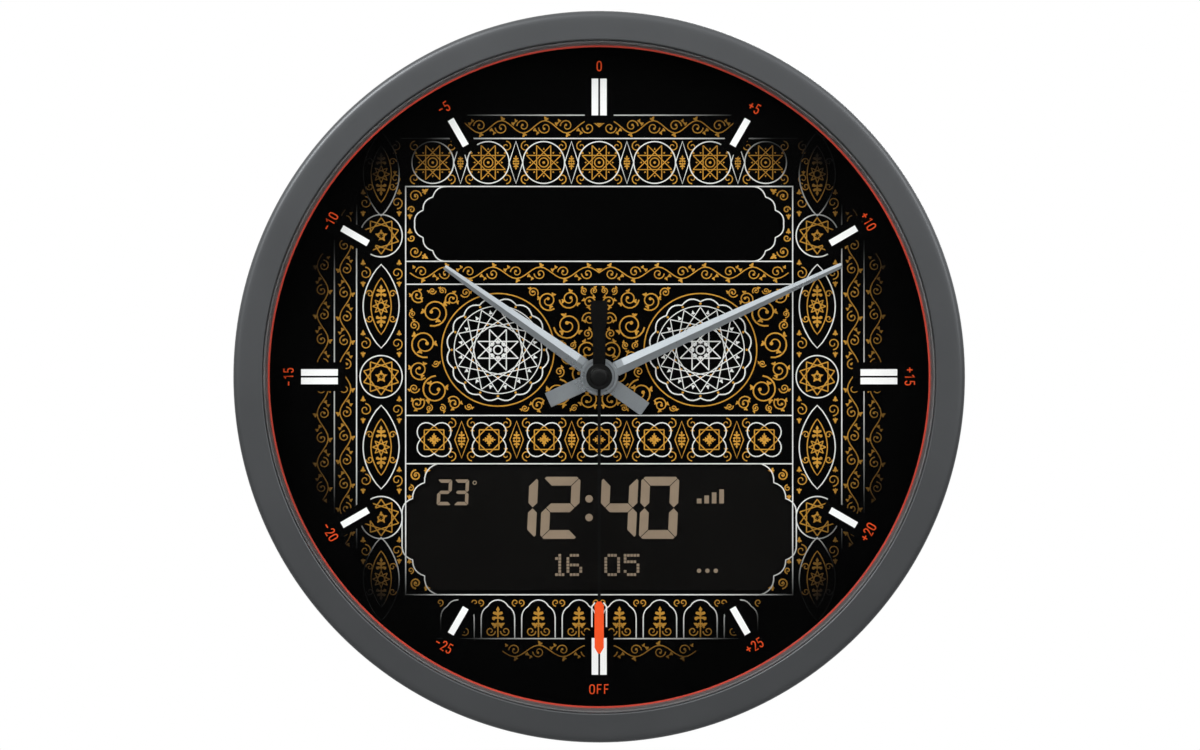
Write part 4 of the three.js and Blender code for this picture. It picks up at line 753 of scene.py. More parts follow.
def stroking():
    """Sweeps a thin flat bar along each drawn line, as wide as the line says at each point."""
    tree, given = geometry("printed_strokes", Lines="Geometry", Thickness="Float", Level="Float",
                           Ink="Material")
    curve = wire(tree, "MeshToCurve", Mesh=given["Lines"])
    section = wire(tree, "CurvePrimitiveQuadrilateral", Width=1.0, Height=1.0)
    width, lift = (wire(tree, "InputNamedAttribute", Name=label) for label in ("width", "lift"))
    swept = wire(tree, "CurveToMesh", Curve=curve, Profile_Curve=section, Scale=width, Fill_Caps=True)
    where = wire(tree, "SeparateXYZ", wire(tree, "InputPosition"))
    half = sums(tree, "MULTIPLY", given["Thickness"], 0.5)
    level = sums(tree, "SUBTRACT", given["Level"], lift)
    depth = sums(tree, "ADD", level, sums(tree, "MULTIPLY", sums(tree, "SIGN", where.outputs[1]), half))
    flat = wire(tree, "CombineXYZ", where, depth, where.outputs[2])
    return ended(tree, wire(tree, "SetPosition", Geometry=swept, Position=flat), given["Ink"])


LAYERS, LAYER_STEP = 11, 0.0008
printed_strokes = stroking()


def printed(name, strokes, ink, level, thickness):
    """A piece of drawn lines, each point with its width. Where lines cross, one lies higher."""
    verts, edges, widths, lifts = [], [], [], []
    for layer, (points, closed) in enumerate(strokes):
        first = len(verts)
        verts += [(x, 0.0, z) for x, z, _ in points]
        widths += [w * MM for _, _, w in points]
        lifts += [layer % LAYERS * LAYER_STEP * MM] * len(points)
        edges += [(first + i, first + i + 1) for i in range(len(points) - 1)]
        if closed:
            edges.append((len(verts) - 1, first))
    drawn = noted(mesh_of(name, verts, edges), width=widths, lift=lifts)
    return grown(name, drawn, printed_strokes, {
        "Thickness": thickness * MM, "Level": (level - thickness / 2) * MM, "Ink": ink}, slot="dial")


def line(width, *points):
    """An open line through points."""
    return [(x, z, width) for x, z in points], False


def loop(width, points):
    """A closed line through points."""
    return [(x, z, width) for x, z in points], True


def ring(x, z, radius, width, count=40):
    """A closed round line."""
    return loop(width, circle(x, z, radius, count=count))


def lozenge(x, z, half, tall, width):
    """A closed line round an upright rhomb."""
    return loop(width, [(x - half, z), (x, z + tall), (x + half, z), (x, z - tall)])


def scroll(x, z, reach, start, turns, twist, wide=0.54):
    """A tendril that winds in round its middle, tapering, from an angle in degrees from the x axis."""
    points = []
    count = round(turns * (9 + 1.5 * reach))
    for i in range(count + 1):
        t = i / count
        angle = math.radians(start) + twist * turns * 2 * math.pi * t
        radius = reach * (1 - 0.8 * t)
        points.append((x + radius * math.cos(angle), z + radius * math.sin(angle), wide * (1 - 0.3 * t)))
    return points, False


def vine(start, end, swing, half, leaf=1.05):
    """A waving stem from start to end along x, a tendril in each hollow and leaves at each crest."""
    waves = max(1, round((end - start) / half))
    half = (end - start) / waves
    stem = [(start + half * i / 6, swing * math.sin(math.pi * i / 6), 0.5) for i in range(6 * waves + 1)]
    strokes, leaves = [(stem, False)], []
    for k in range(waves):
        x, up = start + half * (k + 0.5), 1 - 2 * (k % 2)
        reach = min(0.42 * half, 1.05 * swing)
        tendril = scroll(x, -0.14 * swing * up, reach, 0, 1.15, -up)
        strokes.append(tendril)
        leaves.append((tendril[0][-1][0], tendril[0][-1][1], 0, 0.9, "bud"))
        leaves.append((x - 0.1 * half, 0.95 * swing * up, 60 * up, leaf, "leaf"))
        leaves.append((x - 0.46 * half, 0.35 * swing * up, 150 * up, 0.8 * leaf, "leaf"))
        leaves.append((x + 0.3 * half, -0.75 * swing * up, -60 * up, 0.7 * leaf, "leaf"))
    return strokes, leaves


def moved(art, x, z, turn=0.0):
    """The same ornament, turned in degrees about the origin and then moved."""
    c, s = math.cos(math.radians(turn)), math.sin(math.radians(turn))
    strokes = [([(x + a * c - b * s, z + a * s + b * c, w) for a, b, w in points], closed)
               for points, closed in art[0]]
    leaves = [(x + a * c - b * s, z + a * s + b * c, t + turn, size, kind) for a, b, t, size, kind in art[1]]
    return strokes, leaves


def mirrored(art):
    """An ornament and its mirror image on the other side of the dial."""
    strokes = [([(-x, z, w) for x, z, w in points], closed) for points, closed in art[0]]
    leaves = [(-x, z, 180 - turn, size, kind) for x, z, turn, size, kind in art[1]]
    return art[0] + strokes, art[1] + leaves


def star(x, z, radius, points, step, width, turn=0.0):
    """An interlaced star: its lines join every step-th of its points."""
    tips = [at(x, z, radius, turn + 360 / points * k) for k in range(points + step)]
    return [line(width, *ends) for ends in zip(tips, tips[step:])]


def lobes(x, z, radius, count, depth, width, per=6):
    """A closed line of lobes that meet in cusps."""
    total = count * per
    return loop(width, [at(x, z, radius - depth * (1 - abs(math.sin(math.pi * i / per))), 360 * i / total)
                        for i in range(total)])


def mandorla(x, z, half, tall, width):
    """A closed pointed oval."""
    side = [(half * math.cos(math.pi / 2 * (i / 8)) ** 0.8, tall * i / 8) for i in range(-8, 9)]
    outline = [(x + a, z + b) for a, b in side] + [(x - a, z + b) for a, b in reversed(side[1:-1])]
    return loop(width, outline)


gold, leafing, white, petals = [], [], [], []


def lay(art):
    """Add an ornament to the gold."""
    gold.extend(art[0])
    leafing.extend(art[1])


def corner_scrolls(x, z, spread, rise, reach, wide=0.52):
    """Four tendrils round a middle, curling away from it, each with a leaf."""
    for sx in (-1, 1):
        for sz in (-1, 1):
            gold.append(scroll(x + sx * spread, z + sz * rise, reach, 90 * sz, 1.2, sx * sz, wide))
            leafing.append((x + sx * (spread + 0.2), z + sz * (rise - reach - 1.2), 90 * sz, 0.85, "leaf"))


# Frame lines of the panels
LINE, CLEAR = 0.56, 0.55
COLUMN_X, COLUMN_OUT, VINE_OUT = 87.9, 110.2, 120.3
COLUMN_TOP, COLUMN_FOOT = 86.4 + LINE / 2, WINDOW_FOOT - CLEAR - LINE / 2
PLAQUE_TOP, PLAQUE_FOOT, PLAQUE_END = 86.4, 52.4, 69.0
WINDOW_END = WINDOW_HALF + CLEAR - WINDOW_CORNER[0]
for z, reach in ((118.8, 60), (108.2, 90), (42.0, COLUMN_X), (-17.6, COLUMN_X), (-119.0, 74)):
    white.append(line(LINE, (-reach, z), (reach, z)))
for z, end in ((PLAQUE_TOP, PLAQUE_END), (PLAQUE_FOOT, PLAQUE_END), (WINDOW_TOP + CLEAR, WINDOW_END),
               (WINDOW_FOOT - CLEAR, WINDOW_END)):
    for side in (-1, 1):
        white.append(line(LINE, (side * end, z), (side * COLUMN_X, z)))
for side in (-1, 1):
    for x, top, foot in ((COLUMN_X, COLUMN_TOP, COLUMN_FOOT), (COLUMN_OUT, 78, -78), (VINE_OUT, 62, -62)):
        white.append(line(LINE, (side * x, top), (side * x, foot)))

# Upper vine band and the plaque band's own, and the vine columns beside the dial's panels
for z, reach, swing in ((113.5, 69.0, 2.8), (47.2, 86.0, 2.6)):
    lay(moved(mirrored(vine(0.0, reach, swing, 10.6)), 0, z))
lay(mirrored(moved(vine(-76.0, 76.0, 2.5, 10.8), 115.3, 0, 90)))
lay(mirrored(moved(vine(-56.0, 56.0, 2.5, 11.0), 125.6, 0, 90)))

# Row of eight-pointed stars and lozenges
ROW_Z = 97.3
for k in range(-3, 4):
    x = 25.2 * k
    white.append(ring(x, ROW_Z, 9.5, 0.54, 48))
    gold.extend(star(x, ROW_Z, 8.4, 8, 3, 0.45, 22.5))
    gold.append(ring(x, ROW_Z, 2.1, 0.5, 16))
    leafing.append((x, ROW_Z, 0, 1.0, "bud"))
    leafing.extend((*at(x, ROW_Z, 5.7, 45 * i), 90 - 45 * i, 0.42, "leaf") for i in range(8))
for k in range(-4, 4):
    x = 25.2 * (k + 0.5)
    if abs(x) < 80:
        white.append(lozenge(x, ROW_Z, 3.1, 9.6, 0.5))
        leafing.extend((x, ROW_Z, turn, 0.8, "palm") for turn in (90, -90))
    corner_scrolls(x, ROW_Z, 4.4, 7.3, 2.4)

# Blank plaque with cusped ends, and the scrolls outside its corners
corner = [(PLAQUE_END, PLAQUE_TOP), (75.6, 81.6), (80.0, 75.6), (83.8, 69.4)]
plaque = scallops(corner, 0.2)
plaque += scallops([(83.8, 69.4), (80.0, 63.2), (75.6, 57.2), (PLAQUE_END, PLAQUE_FOOT)], 0.2)[1:]
white.append(loop(LINE, plaque + [(-x, z) for x, z in reversed(plaque)]))
for z, up in ((82.0, 1), (56.8, -1)):
    lay(mirrored(([scroll(83.6, z, 2.9, 180, 1.4, -up), scroll(85.2, z - 6.2 * up, 1.7, 0, 1.2, up, 0.7)], [
        (80.4, z + 1.6 * up, 150 * up, 1.3, "leaf"), (86.0, z - 8.0 * up, -90 * up, 1.1, "leaf"),
        (83.6, z, 0, 0.9, "bud")])))

# Main panel: two rosettes in lobed medallions, each in a wreath, on a field of scrolls
MEDALLION_X, MEDALLION_Z, MEDALLION_R = 46.0, 12.2, 23.4


def field_room(x, z):
    """How far a place lies inside the field, from its frame, its middle line and the medallion."""
    edge = min(x, COLUMN_X - 0.9 - x, z + 16.8, 41.2 - z)
    return min(edge, math.hypot(x - MEDALLION_X, z - MEDALLION_Z) - MEDALLION_R - 3.3)


def packed_scrolls(room, across, up, sizes, gap, step=0.75):
    """Tendrils of several sizes packed close, each springing from its neighbour the other way round."""
    free = {}
    for i in range(int((across[1] - across[0]) / step) + 1):
        for k in range(int((up[1] - up[0]) / step) + 1):
            x, z = across[0] + step * i, up[0] + step * k
            free[x, z] = room(x, z)
    strokes, leaves, rounds = [], [], []
    for size in sizes:
        while True:
            fits = [(clear, z, x) for (x, z), clear in free.items() if clear >= size + gap]
            if not fits:
                break
            _, z, x = min(fits)
            near = min(rounds, key=lambda r: math.hypot(r[0] - x, r[1] - z) - r[2], default=(x, z + 1, 0, 1))
            twist = -near[3]
            bearing = math.degrees(math.atan2(near[1] - z, near[0] - x))
            rounds.append((x, z, size, twist))
            tendril = scroll(x, z, size, bearing, 1.2 + 0.09 * size, twist, 0.46 + 0.045 * size)
            strokes.append(tendril)
            leaves.append((tendril[0][-1][0], tendril[0][-1][1], 0, 0.6 + 0.12 * size, "bud"))
            for share in (0.22, 0.42, 0.62) if size > 3 else (0.3,):
                px, pz, _ = tendril[0][round(share * (len(tendril[0]) - 1))]
                away = math.degrees(math.atan2(pz - z, px - x))
                leaves.append((px, pz, away + 58 * twist, 0.5 + 0.1 * size, "leaf"))
            for place in free:
                clear = math.hypot(place[0] - x, place[1] - z) - size
                free[place] = min(free[place], clear)
    return strokes, leaves


lay(mirrored(packed_scrolls(field_room, (0.0, 87.0), (-16.5, 41.0), (6.4, 4.6, 3.3, 2.4, 1.7), 0.5)))
for side in (-1, 1):
    x, z = side * MEDALLION_X, MEDALLION_Z
    gold.append(ring(x, z, MEDALLION_R + 2.2, 0.58, 72))
    white.append(lobes(x, z, MEDALLION_R, 16, 1.5, 0.62))
    white.append(ring(x, z, 19.9, 0.45, 64))
    white.extend(star(x, z, 19.4, 16, 5, 0.46))
    white.extend(star(x, z, 10.0, 8, 3, 0.56, 22.5))
    white.append(ring(x, z, 1.9, 0.7, 20))
    for k in range(16):
        bearing = 11.25 + 22.5 * k
        petals.append((*at(x, z, 16.2, bearing), 90 - bearing, 0.85, "leaf"))
        leafing.extend((*at(x, z, radius, 11.25 + bearing), 0, size, "bud")
                       for radius, size in ((21.0, 0.9), (12.6, 1.1)))
    petals.extend((*at(x, z, 2.6, 45 * k), 90 - 45 * k, 0.92, "leaf") for k in range(8))

# Row of quatrefoils and long lozenges
CHAIN_Z = -28.6
for k in range(-3, 4):
    x = 25.0 * k
    white.append(lobes(x, CHAIN_Z, 9.2, 4, 3.0, 0.54, 10))
    gold.extend(star(x, CHAIN_Z, 6.3, 8, 2, 0.54))
    leafing.extend((x, CHAIN_Z, turn, 0.74, "palm") for turn in (0, 90, 180, 270))
for k in range(-4, 4):
    x = 25.0 * (k + 0.5)
    if abs(x) < 80:
        gold.append(lozenge(x, CHAIN_Z, 3.1, 8.4, 0.52))
        leafing.extend((x, CHAIN_Z, turn, 0.95, "palm") for turn in (90, -90))
        corner_scrolls(x, CHAIN_Z, 4.7, 7.2, 2.5)

# Line round the display window, and scrolls in the corners of its frame
white.append(loop(LINE, window_outline(CLEAR)))
for z, up in ((-42.2, 1), (-96.4, -1)):
    lay(mirrored(([scroll(83.2, z - 2.6 * up, 2.5, 90 * up, 1.5, -up, 0.72),
                   scroll(85.6, z - 8.4 * up, 1.5, 90 * up, 1.2, up, 0.6)], [
        (79.6, z - 0.4 * up, 180, 1.2, "leaf"), (83.2, z - 2.6 * up, 0, 0.8, "bud"),
        (86.2, z - 11.4 * up, -90 * up, 1.1, "leaf")])))

# Columns of circles and pointed ovals
for side in (-1, 1):
    x = side * (COLUMN_X + COLUMN_OUT) / 2
    for z, kind in ((0, 0), (32, 1), (-32, 1), (64, 0), (-64, 0), (92, 1), (-92, 1)):
        if kind:
            white.append(mandorla(x, z, 8.2, 19.0, 0.54))
            gold.append(mandorla(x, z, 4.6, 12.8, 0.5))
            gold.extend(star(x, z, 3.9, 8, 3, 0.46))
            leafing.extend((x, z + 4.2 * sz, 90 * sz, 1.35, "palm") for sz in (-1, 1))
            for sz in (-1, 1):
                for sx in (-1, 1):
                    gold.append(scroll(x + sx * 5.2, z + sz * 5.6, 1.8, 90 - 90 * sx, 1.2, sx * sz, 0.56))
        else:
            white.append(ring(x, z, 9.6, 0.56, 48))
            gold.extend(star(x, z, 8.3, 10, 3, 0.54))
            leafing.extend((*at(x, z, 0.6, 72 * i), 90 - 72 * i, 0.95, "leaf") for i in range(5))
    for z in (15.0, -15.0, 47.0, -47.0, 79.0, -79.0):
        for sx in (-1, 1):
            gold.append(scroll(x + sx * 7.2, z, 2.8, -90 * sx, 1.3, sx))
            leafing.append((x + sx * 8.2, z + 3.6, 90, 1.1, "leaf"))
            leafing.append((x + sx * 8.2, z - 3.6, -90, 1.1, "leaf"))

# Arches below the display, each with a palmette on a stem
for k in range(-4, 4):
    x = 18.4 * (k + 0.5)
    arch = [(x - 7.6, -118.6), (x - 7.6, -109.6)]
    arch += scallops([(x - 7.6, -109.6), (x - 4.6, -104.2), (x, -101.4)], 0.14, 4)[1:]
    arch += [(2 * x - a, b) for a, b in reversed(arch[:-1])]
    white.append(line(0.52, *arch))
    gold.append(line(0.62, (x, -118.4), (x, -110.5)))
    leafing.append((x, -110.8, 90, 1.55, "palm"))
    for sx in (-1, 1):
        gold.append(scroll(x + sx * 3.4, -115.6, 2.3, 90 + 90 * sx, 1.25, sx, 0.58))
        leafing.append((x + sx * 0.3, -113.4, 90 - 62 * sx, 1.3, "leaf"))
        gold.append(scroll(x + sx * 7.9, -102.6, 1.7, -90, 1.1, -sx, 0.56))
lay(moved(mirrored(vine(0.0, 44.0, 2.6, 11.0)), 0, -124.6))

printed("white_lines", white, white_print, level=DIAL_FRONT - 0.012, thickness=0.06)
printed("gold_scrolls", gold, gold_print, level=DIAL_FRONT - 0.01, thickness=0.04)

# Leaves and buds of the vines, each a small plate set down at its places
side_of_leaf = [(0.0, 0.14), (0.5, 0.2), (0.3, 0.62), (0.5, 1.05), (0.95, 0.95), (1.12, 0.5), (1.6, 0.5)]
side_of_palmette = [(0.0, 0.14), (0.55, 0.16), (0.5, 0.7), (0.05, 1.2), (0.4, 1.75), (1.05, 1.7), (1.2, 0.9),
                    (1.05, 0.25), (1.6, 0.3), (1.75, 1.0), (2.1, 1.5), (2.65, 1.25), (2.6, 0.6), (2.35, 0.25),
                    (2.9, 0.3), (3.2, 0.55)]
motifs = {kind: side + [(end, 0.0)] + [(x, -z) for x, z in reversed(side)]
          for kind, side, end in (("leaf", side_of_leaf, 2.5), ("palm", side_of_palmette, 4.2))}
motifs["bud"] = circle(0, 0, 0.62, count=8)


def scattered(name, leaves, kind, depth, ink):
    """A piece of the leaves of one kind, each a hair nearer than the one before."""
    places = [(x, DIAL_FRONT - 0.011 - i % 9 * LAYER_STEP, z, turn, size)
              for i, (x, z, turn, size, what) in enumerate(leaves) if what == kind]
    sown(name, places, motifs[kind], depth, ink, slot="dial")


for kind in motifs:
    scattered(f"gold_{kind}s", leafing, kind, 0.05, gold_print)
scattered("white_petals", petals, "leaf", 0.073, white_print)

# Batons and numbers. White bars on black patches at each five minutes, double at the quarters, and
# orange figures for the minutes to and since the call, with OFF at the foot.
baton_white = finish("baton_white", "#f6f6f5", "#efefee", 0.4, 0.5, 90, 2200, Specular_IOR_Level=0.2)
patch_black = finish("patch_black", "#040404", "#020202", 0.5, 0.6, 60, 3000, Specular_IOR_Level=0.02)
index_orange = finish("index_orange", "#ef531f", "#e74b18", 0.42, 0.52, 90, 2400, Specular_IOR_Level=0.15)


def swung(points, angle):
    """Points of (beside, outward) on a line from the dial's centre, at an angle."""
    s, c = math.sin(math.radians(angle)), math.cos(math.radians(angle))
    return [(r * s + v * c, r * c - v * s) for v, r in points]


def bar(angle, inner, outer, offset, width):
    """A bar that points to the dial's centre, beside its own line by an offset."""
    low, high = offset - width / 2, offset + width / 2
    return swung([(low, inner), (low, outer), (high, outer), (high, inner)], angle)


BATON_WIDTH, PAIR_OFFSET = 3.0, 1.93
patches, batons = [], []
for hour in range(12):
    angle = 30 * hour
    if hour % 3:
        patches.append(bar(angle, 117.8, 138.4, 0, 9.4))
        batons.append(bar(angle, 121.2, 134.9, 0, BATON_WIDTH))
    else:
        patches.append(bar(angle, 115.2, 138.8, 0, 13.2))
        batons += [bar(angle, 118.7, 135.4, side * PAIR_OFFSET, BATON_WIDTH) for side in (-1, 1)]
prisms("baton_patches", patches, DIAL_FRONT - 0.013, DIAL_FRONT - 0.09, patch_black, slot="dial")
prisms("batons", batons, DIAL_FRONT - 0.1, DIAL_FRONT - 0.3, baton_white, slot="dial")

# Figures drawn with one stroke, on a box of 0.5 by 1
ROUND = [(0.0, 0.25), (0.07, 0.07), (0.25, 0.0), (0.43, 0.07), (0.5, 0.25), (0.5, 0.75), (0.43, 0.93),
         (0.25, 1.0), (0.07, 0.93), (0.0, 0.75), (0.0, 0.25)]
STROKES = {
    "0": [ROUND], "O": [ROUND], "1": [[(0.05, 0.78), (0.3, 1.0), (0.3, 0.0)]],
    "2": [[(0.02, 0.74), (0.06, 0.92), (0.25, 1.0), (0.43, 0.92), (0.48, 0.74), (0.4, 0.52), (0.04, 0.0),
           (0.5, 0.0)]],
    "5": [[(0.46, 1.0), (0.06, 1.0), (0.04, 0.56), (0.25, 0.6), (0.43, 0.52), (0.48, 0.3), (0.42, 0.08),
           (0.25, 0.0), (0.08, 0.06), (0.02, 0.22)]],
    "+": [[(-0.1, 0.5), (0.5, 0.5)], [(0.2, 0.2), (0.2, 0.8)]], "-": [[(-0.04, 0.5), (0.44, 0.5)]],
    "F": [[(0.06, 0.0), (0.06, 1.0), (0.5, 1.0)], [(0.06, 0.52), (0.44, 0.52)]],
}


FIGURE_LINE = 0.56


def lettering(text, angle, radius, height, head_out=True, wide=1.0):
    """A short word or number square to the line from the dial's centre."""
    narrow, advance = 0.86 * wide * height, 0.68 * wide * height
    total = advance * (len(text) - 1) + 0.5 * narrow
    up = 1 if head_out else -1
    lines = []
    for k, glyph in enumerate(text):
        for path in STROKES[glyph]:
            points = swung([(up * (advance * k + x * narrow - total / 2), radius + up * (z - 0.5) * height)
                            for x, z in path], angle)
            joined = path[0] == path[-1]
            lines.append(loop(FIGURE_LINE, points[:-1]) if joined else line(FIGURE_LINE, *points))
    return lines


numbers = []
for step in range(-5, 6):
    text = "0" if step == 0 else f"{5 * step:+d}"
    numbers += lettering(text, 30 * step, 141.1, 4.25, abs(step) < 4)
numbers += lettering("OFF", 180, 142.0, 4.1, False, 1.16)
printed("minute_numbers", numbers, index_orange, level=DIAL_FRONT - 0.1, thickness=0.06)
tip_outline = [line(0.7, (s * 3.3, -113.7), (s * 3.3, -104.4), (s * 1.9, -102.6)) for s in (-1, 1)]
printed("index_outline", tip_outline, baton_white, level=DIAL_FRONT - 0.02, thickness=0.07)

# Rings round the dial. A red anodised ring lies on the dial, and a turned grey spacer stands on it
# and carries the lens.


def rounded(corners):
    """A profile from (radius, y, round) corners, each rounded in four steps."""
    profile = []
    for i, (r, y, size) in enumerate(corners):
        if not size:
            profile.append((r, y))
            continue
        ends = []
        for other in (corners[i - 1], corners[(i + 1) % len(corners)]):
            dr, dy = other[0] - r, other[1] - y
            share = size / math.hypot(dr, dy)
            ends.append((r + dr * share, y + dy * share))
        for t in (0, 0.25, 0.5, 0.75, 1):
            profile.append(tuple((1 - t) ** 2 * a + 2 * t * (1 - t) * b + t * t * c
                                 for a, b, c in zip(ends[0], (r, y), ends[1])))
    return profile


ring_red = finish("ring_red", "#dd4630", "#cf3d29", 0.3, 0.4, 60, 1800)
rim_paint = finish("rim_paint", "#5c5e60", "#595b5d", 0.37, 0.43, 25, 1500, Metallic=0.75)
low, high = extent("accent_ring")
section = [(149.7, high[1], 0), (high[0], high[1], 0), (high[0], low[1], 0), (149.7, low[1], 0.3)]
red_ring = turned("red_ring", rounded(section), ring_red, slot="accent")
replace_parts(red_ring, "accent_ring")
spacer_paint = finish("spacer_paint", "#848182", "#7c797a", 0.35, 0.42, 25, 1500, Metallic=0.15)
low, high = extent("spacer_ring")
section = [(150.4, high[1], 0.2), (high[0], high[1], 0.2), (high[0], low[1], 0.2), (151.1, low[1], 0.2)]
spacer = turned("spacer_sleeve", rounded(section), spacer_paint, slot="rim")
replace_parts(spacer, "spacer_ring")

# Nut and hands. A brass nut clamps the movement, and two ridged hands of silver lacquered aluminium
# and a black index hand with an orange tip press onto its pipes.
nut_brass = finish("nut_brass", "#d3ac5c", "#a9823a", 0.25, 0.4, 200, 1400, 0.00002, Metallic=0.9)
dress(nut_brass, "mounting_nut")
hand_silver = finish("hand_silver", "#c7cdd2", "#bdc3c9", 0.26, 0.32, 60, 700, Metallic=0.88)
hand_black = finish("hand_black", "#070707", "#040404", 0.38, 0.5, 120, 2200, Specular_IOR_Level=0.12)
hub_black = finish("hub_black", "#060606", "#040404", 0.26, 0.32, 120, 2200, Specular_IOR_Level=0.45)


def hand(name, angle, reach, body):
    """A ridged blade that starts with a sloping hip, a flat tail and a hub with a low rim."""
    back = extent(body)[1][1]
    plate, ridge = back - 0.6, back - 1.3
    s, c = math.sin(math.radians(angle)), math.cos(math.radians(angle))
    blade, tail = [], []
    for u, half, rise in ((8.2, 3.3, 0.0), (9.2, 3.3, 0.02), (12.4, 3.3, 1.0), (reach - 1.3, 1.2, 0.85),
                          (reach, 1.05, 0.1)):
        top = plate + (ridge - plate) * rise
        blade.append([(-half, back, u), (half, back, u), (half, plate, u), (0.0, top, u), (-half, plate, u)])
    for u, half in ((-8.1, 3.5), (-25.2, 3.5), (-25.5, 3.3)):
        tail.append([(-half, back, u), (half, back, u), (half, plate + 0.12, u), (half - 0.12, plate, u),
                     (0.12 - half, plate, u), (-half, plate + 0.12, u)])
    shells = [loft([[(v * c + u * s, y, u * c - v * s) for v, y, u in section] for section in part])
              for part in (blade, tail)]
    profile = [(8.6, back), (8.6, plate), (8.35, plate - 0.28), (7.2, plate - 0.28), (6.9, plate - 0.06),
               (3.2, plate - 0.06), (3.2, back)]
    size, sides = len(profile), 64
    turns = [math.tau * i / sides for i in range(sides)]
    faces = [(a + k, a + (k + 1) % size, b + (k + 1) % size, b + k)
             for i in range(sides) for a, b in [(i * size, (i + 1) % sides * size)] for k in range(size)]
    shells.append(([(r * math.sin(a), y, r * math.cos(a)) for a in turns for r, y in profile], faces))
    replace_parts(shell_piece(name, shells, hand_silver, body=body, slot="silver", smooth=8), body)


hand("hour_blade", 305.4, 86.0, "hour_hand")
hand("minute_blade", 65.3, 121.0, "minute_hand")

low, high = extent("index_hand")
INDEX_BACK, HUB_RADIUS, HUB_TOP = high[1], high[0], low[1]
paddle = [(2.4, -4.0), (2.9, 8.0), (2.9, 22.4), (3.8, 25.4), (3.8, 33.9), (3.2, high[2])]
paddle += [(-x, z) for x, z in reversed(paddle)]
stick = [(-0.7, -104.0), (0.7, -104.0), (0.7, 2.0), (-0.7, 2.0)]
shells = [prism([paddle], INDEX_BACK, -38.1), prism([stick], INDEX_BACK, -38.0)]
index_black = shell_piece("index_paddle", shells, hand_black, body="index_hand", slot="pointer")
profile = [(0, INDEX_BACK), (HUB_RADIUS, INDEX_BACK), (HUB_RADIUS, -38.2), (5.7, -38.4), (4.3, -38.4),
           (4.05, -38.55), (3.7, -38.95), (2.7, -39.15), (1.4, HUB_TOP), (0, HUB_TOP)]
turned("index_hub", profile, hub_black, sides=64, body="index_hand", slot="pointer")
tip = [(-0.9, -101.7), (0.9, -101.7), (2.1, -103.6), (2.1, -122.6), (0.5, -125.3), (-0.5, -125.3),
       (-2.1, -122.6), (-2.1, -103.6)]
prisms("index_tip", [tip], -37.25, -38.25, index_orange, body="index_hand", slot="accent")
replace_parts(index_black, "index_hand")

# Lens. A flat pane of float glass between the spacer and the rim's lip, so clear that only a faint
# sheen shows it.
pane, tree, shader = shaded("lens_pane")
tree.nodes.remove(shader)
clear = wire(tree, "BsdfTransparent", Color=(0.995, 1.0, 0.998, 1.0))
place = wire(tree, "TexCoord").outputs["Object"]
smudge = wire(tree, "TexNoise", Scale=18.0, Detail=3.0, Vector=place)
sheen_rough = wire(tree, "MapRange", smudge, 0.3, 0.7, 0.01, 0.035)
sheen = wire(tree, "BsdfAnisotropic", Roughness=sheen_rough)
both = wire(tree, "MixShader", wire(tree, "Fresnel", IOR=1.1), clear, sheen)
feed(tree.nodes["Material Output"], both)
dress(pane, "lens")

# Rim. One turned and painted aluminium ring: a face that falls gently outwards, a rounded outer
# edge and a lip that holds the lens. It closes over the housing's flange from the front.
low, high = extent("bezel")
RIM_OUT, RIM_BACK, RIM_FRONT = high[0], high[1], low[1]
RIM_IN, LIP_BACK, SHELF, EDGE_ROUND = 162.0, -44.0, -44.6, 3.0
face = [(151.5, LIP_BACK), (151.7, -46.9)]
for turn in range(0, 91, 18):
    a = math.radians(turn)
    face.append((151.72 + 0.6 * (1 - math.cos(a)), RIM_FRONT + 0.65 * (1 - math.sin(a))))
face += [(radius, RIM_FRONT + fall) for radius, fall in (
    (152.5, 0.015), (152.8, 0.03), (155.0, 0.13), (157.5, 0.24), (159.9, 0.35), (161.5, 0.44))]
edge = arc(RIM_OUT - EDGE_ROUND, RIM_FRONT + 3.5, EDGE_ROUND, 171, 90, 9)
inside = [(RIM_OUT, -8.4), (164.7, RIM_BACK), (162.3, RIM_BACK), (RIM_IN, -8.4), (RIM_IN, -43.1),
          (160.5, SHELF), (155.4, SHELF), (155.4, -38.5), (153.6, -38.5), (153.6, LIP_BACK)]
rim = turned("rim_ring", face + edge + inside, rim_paint, sides=256, slot="rim")
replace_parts(rim, "bezel")

# Case screws. Six plated screws with a domed head and a cross recess, driven from behind through
# the housing's flange into the rim.


def cross(arm, half):
    """The outline of a driver's cross recess."""
    points = []
    for c, s in ((1, 0), (0, 1), (-1, 0), (0, -1)):
        points += [(a * c - b * s, a * s + b * c) for a, b in ((half, half), (half, arm), (-half, arm))]
    return points


def screw_head(radius, arm, half):
    """A pan head with a recess, its top at y = 0, as one closed shell."""
    steps = ((-1.75, radius), (-0.55, radius), (-0.2, 0.93 * radius), (-0.05, 0.8 * radius))
    verts, faces = plug([(y, r - radius) for y, r in steps], circle, 0, 0, radius, count=24)
    faces.pop()
    socket = cross(arm, half)
    first, size = len(verts), len(socket)
    rim = range(first - 24, first)
    verts += [(x, 0.0, z) for x, z in socket] + [(0.8 * x, -1.2, 0.8 * z) for x, z in socket]
    names = [*rim, *range(first, first + size)]
    top = [[(verts[i][0], verts[i][2], 0.0) for i in rim], [(x, z, 0.0) for x, z in socket]]
    faces += [[names[i] for i in cap] for cap in tessellate_polygon(top)]
    for i in range(first, first + size):
        j = first + (i + 1 - first) % size
        faces.append((i, j, size + j, size + i))
    faces.append(list(range(first + size, first + 2 * size)))
    return verts, faces


